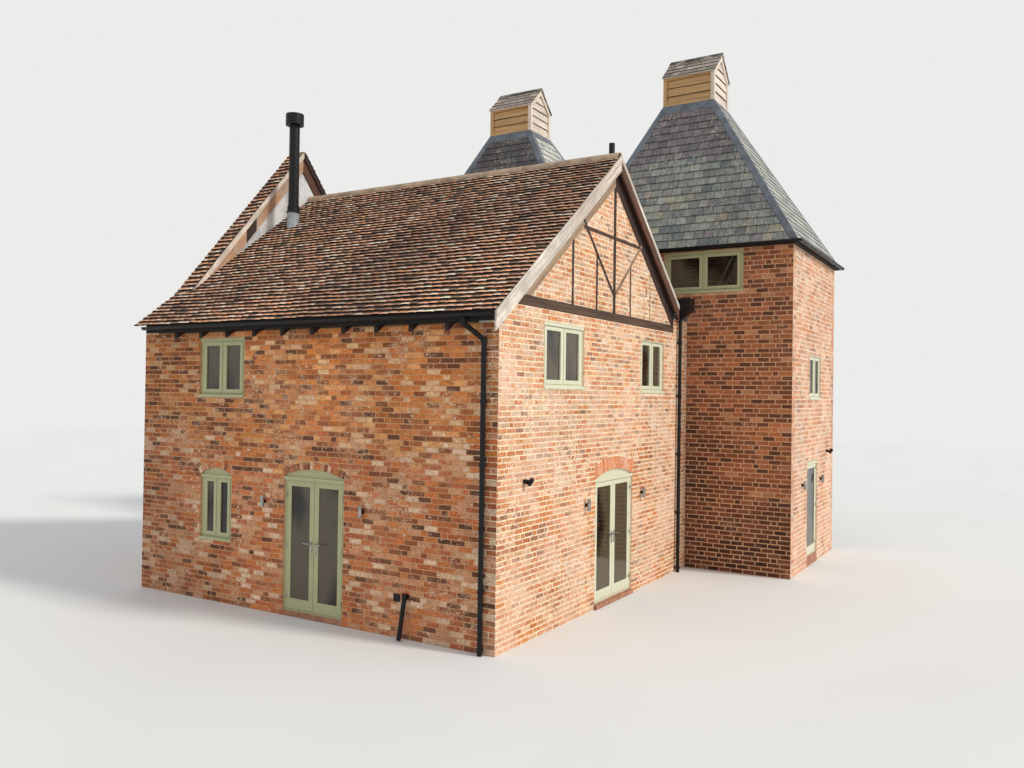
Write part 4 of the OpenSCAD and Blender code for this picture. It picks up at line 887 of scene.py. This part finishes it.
def ridge():
    """Half-round ridge tiles, each a little out of line, bedded in mortar"""
    pile = Pile()
    radius, thick, length, gap, steps = 0.118, 0.016, 0.30, 0.004, 12
    middle, first, turn = APEX - 0.062, math.radians(20), math.radians(140)
    count, n = int(RIDGE_LENGTH / length), steps + 1
    for i in range(count):
        a, b = (X_PARTY + RIDGE_LENGTH * (i + k) / count for k in (0, 1))
        tone = tint(RIDGE_TILES, 0.1)
        lift = rng.uniform(-0.004, 0.0)
        arc = [first + turn * k / steps for k in range(n)]
        points = [(x, RIDGE_Y - r * math.cos(t), middle + r * math.sin(t) + lift)
                  for r in (radius, radius - thick) for x in (a + gap, b - gap) for t in arc]
        faces = [face for k in range(steps) for face in (
            (k, n + k, n + k + 1, k + 1), (2 * n + k, k, k + 1, 2 * n + k + 1),
            (n + k, 3 * n + k, 3 * n + k + 1, n + k + 1))]
        pile.add(points, faces, tone)
    pile.make("ridge_row", "clay_tiles", "clay_tile")


def bar(pile, quad, x0, x1, tone, arris, wobble):
    """A timber between x0 and x1, of four corners (y, z): a long edge, then the other back"""
    a, b, c, d = (Vector((0, *corner)) for corner in quad)
    count = max(2, int(((b - a).length + (c - d).length) / 2 / BAR_STEP))
    along = (b - a).normalized()
    across = Vector((0, -along.z, along.y))
    across *= 1 if (c + d - a - b).dot(across) > 0 else -1
    shift = rng.uniform(0, GRAIN_SPAN)
    points, grains = [], []
    for i in range(count + 1):
        t = i / count
        loose = wobble if 0 < i < count else 0.0
        lo = a.lerp(b, t) + across * rng.uniform(0, loose)
        hi = d.lerp(c, t) - across * rng.uniform(0, loose)
        front = x1 - rng.uniform(0, loose * 0.3)
        side = (hi - lo).normalized() * min(arris, (hi - lo).length / 3)
        for q, x in ((lo, x0), (lo, front - arris), (lo + side, front), (hi - side, front),
                     (hi, front - arris), (hi, x0)):
            points.append((x, q.y, q.z))
            grains.append(((q - a).dot(along) + shift, (q - a).dot(across) + shift, x))
    pile.add(points, loft(6, count), linear(tone), grains=grains)


def sweep(pile, section, x0, x1, tone):
    """A board of a section (y, z) carried along x, a little out of true"""
    count = max(1, int((x1 - x0) / SWEEP_STEP))
    shift = rng.uniform(0, GRAIN_SPAN)
    points, grains = [], []
    for i in range(count + 1):
        x = x0 + (x1 - x0) * i / count
        for y, z in section:
            points.append((x, y + rng.uniform(-0.001, 0.001), z - rng.uniform(0, 0.001)))
            grains.append((x + shift, y, z))
    pile.add(points, loft(len(section), count), linear(tone), grains=grains)


def stick(a, b, width):
    """Corners of a bar of a width from a to b"""
    a, b = Vector(a), Vector(b)
    side = Vector((-(b - a).y, (b - a).x)).normalized() * (width / 2)
    return [tuple(q) for q in (a - side, b - side, b + side, a + side)]


def strip(y0, y1, top, bottom):
    """Corners of a board along one slope of the wing, by its depths under the tiles"""
    pitch = FRONT_PITCH if y0 < RIDGE_Y and y1 <= RIDGE_Y else REAR_PITCH
    return [(y, below(y, depth, pitch))
            for y, depth in ((y0, bottom), (y1, bottom), (y1, top), (y0, top))]


def gable_timbers():
    """The framed triangle of the gable, each timber with its own tone and wear; the principals' pale
    and dark tones are painted sunlight and painted shade
    """
    pile = Pile()
    back, front = X_GABLE - FRAME_DEPTH, X_GABLE - 0.002
    bar(pile, [(TIE_START, TIE_Z), (TRAY_Y, TIE_Z), (TRAY_Y, TIE_TOP), (TIE_START, TIE_TOP)], back,
        X_GABLE, TIE_BROWN, 0.012, 0.005)
    foot_y = [under_slopes(TIE_TOP, peak)[0] for peak in (below(RIDGE_Y, PRINCIPAL, FRONT_PITCH),
                                                          UNDER_COVER)]
    # The two principals are one timber, drawn pale under the front slope and dark under the rear one:
    # painted sunlight and painted shade
    bar(pile, [(foot_y[0], TIE_TOP), (RIDGE_Y, below(RIDGE_Y, PRINCIPAL)), (RIDGE_Y, UNDER_COVER),
               (foot_y[1], TIE_TOP)], back, front, (0.72, 0.60, 0.49), 0.01, 0.004)
    bar(pile, strip(TRAY_Y, RIDGE_Y, COVER, PRINCIPAL), back, front, RED_BROWN, 0.01, 0.004)
    foot, low = (RIDGE_Y, 5.37), TIE_TOP - 0.02
    for a, b, width, depth, tone in (
            ((RIDGE_Y, low), (RIDGE_Y, POST_TOP), 0.11, 0.0, NEAR_BLACK),
            ((-1.25, 6.569), foot, 0.075, 0.001, NEAR_BLACK), ((1.25, 6.44), foot, 0.075, 0.001, TAN),
            ((-1.2, 6.4), (1.2, 6.4), 0.07, 0.0015, TIE_BROWN),
            ((-1.56, low), (-1.56, 6.12), 0.075, 0.001, NEAR_BLACK),
            ((1.70, low), (1.70, 6.0), 0.022, 0.001, (0.46, 0.30, 0.22)),
            ((-0.67, low), (-0.67, 6.03), 0.075, 0.002, NEAR_BLACK),
            ((0.75, low), (0.75, 5.998), 0.075, 0.002, TIE_BROWN)):
        bar(pile, stick(a, b, width), back, X_GABLE - depth, tone, min(0.009, width / 4), 0.005)
    pile.make("gable_timbers", "gable_beams", "old_oak", "gable_frame")


def slope_meets_tiles(lift, sign):
    """Where a line parallel to the raised gable's slope, lifted off it, meets the wing's tiles"""
    steep, flat = math.tan(PARTY_PITCH), math.tan(FRONT_PITCH if sign < 0 else REAR_PITCH)
    y = (PARTY_APEX + lift - APEX + sign * (steep * PARTY_APEX_Y - flat * RIDGE_Y)) / (steep - flat)
    return (sign * y, tile_top(sign * y))


def verge_boards():
    """Bargeboards of the wing's gable and of the raised gable: pale ones and brown ones"""
    pale, brown = Pile(), Pile()
    seam, behind, verge, thick = -1.86, RIDGE_Y + 0.001, VERGE_X, VERGE_X + BOARD
    for quad, x0, x1, tone in (
            (strip(EAVE_Y, seam, -0.005, 0.226), verge, thick, PALE_BOARD),
            (strip(seam + 0.003, RIDGE_Y, -0.005, 0.226), verge, thick, (0.90, 0.83, 0.76)),
            (strip(behind, REAR_EAVE_Y, -0.005, 0.066), verge, thick, PALE_BOARD),
            (strip(behind, REAR_EAVE_Y, 0.070, 0.226), verge, thick - 0.006, BOARD_BROWN),
            (strip(Y_FRONT, RIDGE_Y, COVER, COVER + 0.025), X_GABLE, verge, BOARD_BROWN),
            (strip(behind, TRAY_Y, COVER, COVER + 0.025), X_GABLE, verge, BOARD_BROWN)):
        bar(brown if tone is BOARD_BROWN else pale, quad, x0, x1, tone, 0.004, 0.002)
    # The raised gable's coping is near-black along its rear slope: painted shadow
    for sign, pile, tone, parts in (
            (-1, pale, (0.97, 0.90, 0.83), ((-1.79, pale, (0.83, 0.66, 0.52)),
                                            (-1.53, brown, (0.27, 0.20, 0.17)),
                                            (PARTY_APEX_Y, pale, (0.80, 0.62, 0.48)))),
            (1, brown, NEAR_BLACK, ((PARTY_APEX_Y, brown, BOARD_BROWN),))):
        apex = [(PARTY_APEX_Y, PARTY_APEX + lift) for lift in (0.0003, COPING)]
        bar(pile, [slope_meets_tiles(0.0003, sign), *apex, slope_meets_tiles(COPING, sign)], X_END,
            X_PARTY + 0.06, tone, 0.004, 0.002)
        low, high = slope_meets_tiles(-PARTY_BOARD, sign), slope_meets_tiles(0, sign)
        for stop, part_pile, part_tone in parts:
            next_low, next_high = ((stop, party_line(stop, lift)) for lift in (-PARTY_BOARD, 0))
            bar(part_pile, [low, next_low, next_high, high], X_PARTY + 0.0003, X_PARTY + BOARD,
                part_tone, 0.004, 0.001)
            low, high = next_low, next_high
    pale.make("verge_boards", "weathered_wood", "weathered_board", "bargeboards")
    brown.make("brown_boards", "gable_beams", "weathered_board", "bargeboards")


def cowl_tops():
    """The cowls' roofs: boards, four courses of slates and a mossy capping"""
    boards, slated = Pile(), Pile()
    half, out_by, thick, board, rows = COWL_D / 2, 0.025, 0.05, 0.026, 4
    pitch, eave = math.atan(COWL_RISE / half), half + out_by

    def on_roof(sign, corners):
        """Places (y, z) of corners given from the middle and by thickness square to the slope"""
        return [(KILN_Y + sign * y, COWL_Z + COWL_H + COWL_RISE - y * COWL_RISE / half
                 + depth / math.cos(pitch)) for y, depth in corners]

    for cx in COWL_XS:
        x0, x1 = cx - COWL_W / 2 - out_by, cx + COWL_W / 2 + out_by
        for sign in (-1, 1):
            section = on_roof(sign, ((eave, 0.0003), (0.0003, 0.0003), (0.0003, board), (eave, board)))
            # The boards under the rear slope are dark brown: painted shade
            sweep(boards, section, x0 + 0.004, x1 - 0.004,
                  (0.90, 0.82, 0.75) if sign < 0 else (0.33, 0.28, 0.24))
            up, out = slope_axes(pitch, sign)
            foot = Vector((0, *section[3]))
            gauge = (eave / math.cos(pitch) - 0.03) / rows
            for row in range(rows):
                edges = [x0] + [x0 + 0.10 * (row % 2) + 0.215 * i for i in range(1, 6)] + [x1]
                for a, b in zip(edges, edges[1:]):
                    tone = tint(COWL_SLATES, 0.06)
                    low = foot + up * (row * gauge + rng.uniform(0, 0.004))
                    add_slate(slated, low, foot + up * ((row + 1) * gauge + 0.012),
                              Vector((1, 0, 0)), out, (a, b), (a, b), 0.016, tone, sign > 0)
            cap = on_roof(sign, ((0.115, board + 0.012), (0.0003, board + 0.010), (0.0003, thick),
                                 (0.112, thick - 0.003)))
            sweep(boards, cap, x0 + 0.002, x1 - 0.002, (0.25, 0.24, 0.20))
    boards.make("cowl_roof_boards", "weathered_wood", "weathered_board", "cowl_roofs")
    slated.make("cowl_slates", "riven_slates", "slate")


# CAD nodes that keep their shape get their edges softened and a grain along each bar

def islands(mesh):
    """Groups of joined corners of a mesh, by their indices"""
    parent = list(range(len(mesh.vertices)))

    def find(i):
        while parent[i] != i:
            parent[i] = parent[parent[i]]
            i = parent[i]
        return i

    for edge in mesh.edges:
        a, b = find(edge.vertices[0]), find(edge.vertices[1])
        parent[a] = b
    groups = {}
    for i in range(len(mesh.vertices)):
        groups.setdefault(find(i), []).append(i)
    return groups.values()


def weld(bm):
    """Join corners that meet and drop the edges inside flat faces"""
    bmesh.ops.remove_doubles(bm, verts=bm.verts, dist=0.00005)
    bmesh.ops.dissolve_limit(bm, angle_limit=math.radians(2), verts=bm.verts, edges=bm.edges)


def dress(node, material, bevel=0.0, upright=False, tone=None, other=None):
    """A softened copy of a node that stands for it, with its own grain coordinates

    The grain runs upright or along each bar, tone gives a bar's colour from its middle, and other
    is a second material with a test of the faces that have it.
    """
    mesh = nodes[node].data.copy()
    edit(mesh, weld)
    places = np.array([corner.co for corner in mesh.vertices], np.float32)
    grains, tones = np.zeros_like(places), np.ones_like(places)
    for group in islands(mesh):
        centre = places[group].mean(0)
        if tone:
            tones[group] = tone(centre)
        if upright:
            axes = np.roll(np.eye(3), 1, axis=0)
        else:
            axes = np.linalg.svd(places[group] - centre, full_matrices=False)[2]
        grains[group] = (places[group] - centre) @ axes.T + rng.uniform(0, GRAIN_SPAN)
    set_grain(mesh, grains)
    if tone:
        set_tone(mesh, tones)
    mesh.materials.clear()
    mesh.materials.append(MATERIALS[material])
    if other:
        mesh.materials.append(MATERIALS[other[0]])
        for face in mesh.polygons:
            if other[1](face):
                face.material_index = 1
    obj = link(node + "_dressed", mesh)
    if bevel:
        edges = obj.modifiers.new("soft_edges", "BEVEL")
        edges.width, edges.segments, edges.limit_method = bevel, 2, "ANGLE"
        edges.angle_limit = math.radians(40)
    bodies = frame["record"]["behaviour"]["bodies"]
    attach(obj, next(body for body, members in bodies.items() if node in members))
    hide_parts(node)


def paint(names, material):
    """Give CAD nodes a material and leave their shape"""
    for name in names:
        nodes[name].data.materials.clear()
        nodes[name].data.materials.append(MATERIALS[material])


def cowl_tone(centre):
    """Golden oak, drawn cream on the sunny side as painted sunlight"""
    cx = min(COWL_XS, key=lambda x: abs(x - centre[0]))
    sunny = centre[0] - cx > COWL_W / 2 - 0.12
    k = 1 + rng.uniform(-0.13, 0.12)
    return scaled(linear((0.96, 0.89, 0.82) if sunny else (0.85, 0.67, 0.45)), k)


def in_sun(face):
    """Whether a face is on the gable's or the kilns' sunny side, where the sage is drawn paler as
    painted sunlight
    """
    x, y, _ = face.center
    return x > X_SIDE - 0.3 or (x > X_GABLE - 0.3 and y < Y_KILN - 0.1)


def black_fitting(face):
    """Whether a face of a lamp belongs to a spotlight or to the arm behind a lamp"""
    x, y, z = face.center
    out = Y_FRONT - y if y < Y_FRONT else x - (X_SIDE if x > X_SIDE else X_GABLE)
    return z > LAMPS_TOP or out < LAMP_ARM


def zinc_sleeve(face):
    """Whether a face of the roof's pipes belongs to the sleeve at the foot of one"""
    top = tile_top(FLUE_Y) + FLUE_BASE if face.center.x < 0 else VENT_SLEEVE
    return face.center.z < top


def timber_and_fittings():
    dress("rafters", "old_oak", 0.006)
    dress("party_wall", "party_mortar",
          other=("grey_render", lambda face: face.normal.x > 0.5))
    dress("cowls", "new_oak", 0.004, tone=cowl_tone)
    # Downward faces of the boards take the dark oak: painted shade under each lap
    dress("cowl_boards", "new_oak", 0.003, tone=cowl_tone,
          other=("old_oak", lambda face: face.normal.z < -0.6))
    # Sage faces on the sunny sides take the paler sage: painted sunlight
    for node in ("window_frames", "sills", "door_frames"):
        dress(node, "sage_gloss", 0.002, True, other=("sunlit_sage", in_sun))
    # The gable's and the kiln's doors face the sun and take the paler sage: painted sunlight
    for node, axis, face, sense, paint_name in (
            ("front_door_left", 1, Y_FRONT, -1, "sage_gloss"),
            ("front_door_right", 1, Y_FRONT, -1, "sage_gloss"),
            ("gable_door_left", 0, X_GABLE, 1, "sunlit_sage"),
            ("gable_door_right", 0, X_GABLE, 1, "sunlit_sage"),
            ("kiln_door", 0, X_SIDE, 1, "sunlit_sage")):
        outside = face - sense * DOOR_SET
        dress(node, paint_name, 0.002, True, other=(
            "brushed_steel", lambda f: not -LEAF < (f.center[axis] - outside) * sense < 0.0006))
    dress("door_steps", "clay_sill", 0.006)
    dress("roof_pipes", "black_gloss", other=("zinc_sleeve", zinc_sleeve))
    dress("wall_lights", "brushed_steel", other=("black_gloss", black_fitting))
    for material, names in (
            ("black_gloss", ("gutters", "downpipes", "outlet_pipe")),
            ("sheet_lead", ("lead_hips", "box_gutter")), ("floated_concrete", ("ground_floor",)),
            ("floor_boards", ("upper_floors",)), ("kiln_front_mortar", ("kiln_front_wall",)),
            ("front_mortar", ("front_wall_left", "front_wall_right", "front_wall_over_door")),
            ("gable_mortar", ("gable_infill", "gable_wall_left", "gable_wall_right",
                              "gable_wall_over_door")),
            ("kiln_side_mortar", ("kiln_side_wall_front", "kiln_side_wall_rear",
                                  "kiln_side_wall_over_door")),
            ("kiln_rear_mortar", ("kiln_rear_wall",)), ("end_mortar", ("kiln_end_wall",)),
            ("grey_render", ("kiln_dividing_wall",)), ("ridge_bedding", ("ridge_tiles",)),
            # The roof slopes' near-black eave edges and undersides are painted shade
            ("underlay_and_painted_shade", ("front_roof_slope", "rear_roof_slope", "right_kiln_roof",
                               "left_kiln_roof")),
            ("window_glazing", [node for node in nodes if node.endswith("_glass")])):
        paint(names, material)


def studio():
    """A pale floor, soft light from the gable's side and the photograph's viewpoint"""
    mesh = bpy.data.meshes.new("studio_floor")
    size, under = 60, -0.002
    mesh.from_pydata([(x * size, y * size, under) for x, y in ((-1, -1), (1, -1), (1, 1), (-1, 1))],
                     [], [(0, 1, 2, 3)])
    mesh.materials.append(MATERIALS["studio_floor"])
    link("studio_floor", mesh)

    sun = bpy.data.lights.new("key", "SUN")
    sun.energy, sun.angle, sun.color = 2.0, math.radians(9), (1.0, 0.965, 0.91)
    sun_from = Vector((0.80, 0.12, 0.62)).normalized()
    link("key", sun).rotation_euler = sun_from.to_track_quat("Z", "Y").to_euler()

    world = bpy.data.worlds.new("studio")
    world.use_nodes = True
    tree = world.node_tree
    sky, output = tree.nodes["Background"], tree.nodes["World Output"]
    backdrop, path, glossy, through, mix = (tree.nodes.new("ShaderNode" + kind) for kind in (
        "Background", "LightPath", "Math", "Math", "MixShader"))
    sky.inputs["Color"].default_value = (0.93, 0.96, 1.0, 1)
    sky.inputs["Strength"].default_value = 0.70
    backdrop.inputs["Color"].default_value = (0.84, 0.84, 0.83, 1)
    glossy.operation = through.operation = "MAXIMUM"
    for a, b in ((path.outputs["Is Camera Ray"], glossy.inputs[0]),
                 (path.outputs["Is Glossy Ray"], glossy.inputs[1]),
                 (glossy.outputs[0], through.inputs[0]),
                 (path.outputs["Is Transmission Ray"], through.inputs[1]),
                 (through.outputs[0], mix.inputs["Fac"]), (sky.outputs[0], mix.inputs[1]),
                 (backdrop.outputs[0], mix.inputs[2]), (mix.outputs[0], output.inputs["Surface"])):
        tree.links.new(a, b)
    bpy.context.scene.world = world

    data = bpy.data.cameras.new("camera")
    data.lens, data.sensor_width = 30.31, 36
    camera = link("camera", data)
    place = Matrix.Translation((10.139, -13.886, 3.630))
    for degrees, axis in ((31.083, "Z"), (90.650, "X"), (0.803, "Z")):
        place = place @ Matrix.Rotation(math.radians(degrees), 4, axis)
    camera.matrix_world = place
    bpy.context.scene.camera = camera
    bpy.context.scene.view_settings.view_transform = "Standard"


brickwork()
roof_tiles()
slates()
ridge()
gable_timbers()
verge_boards()
cowl_tops()
timber_and_fittings()
studio()
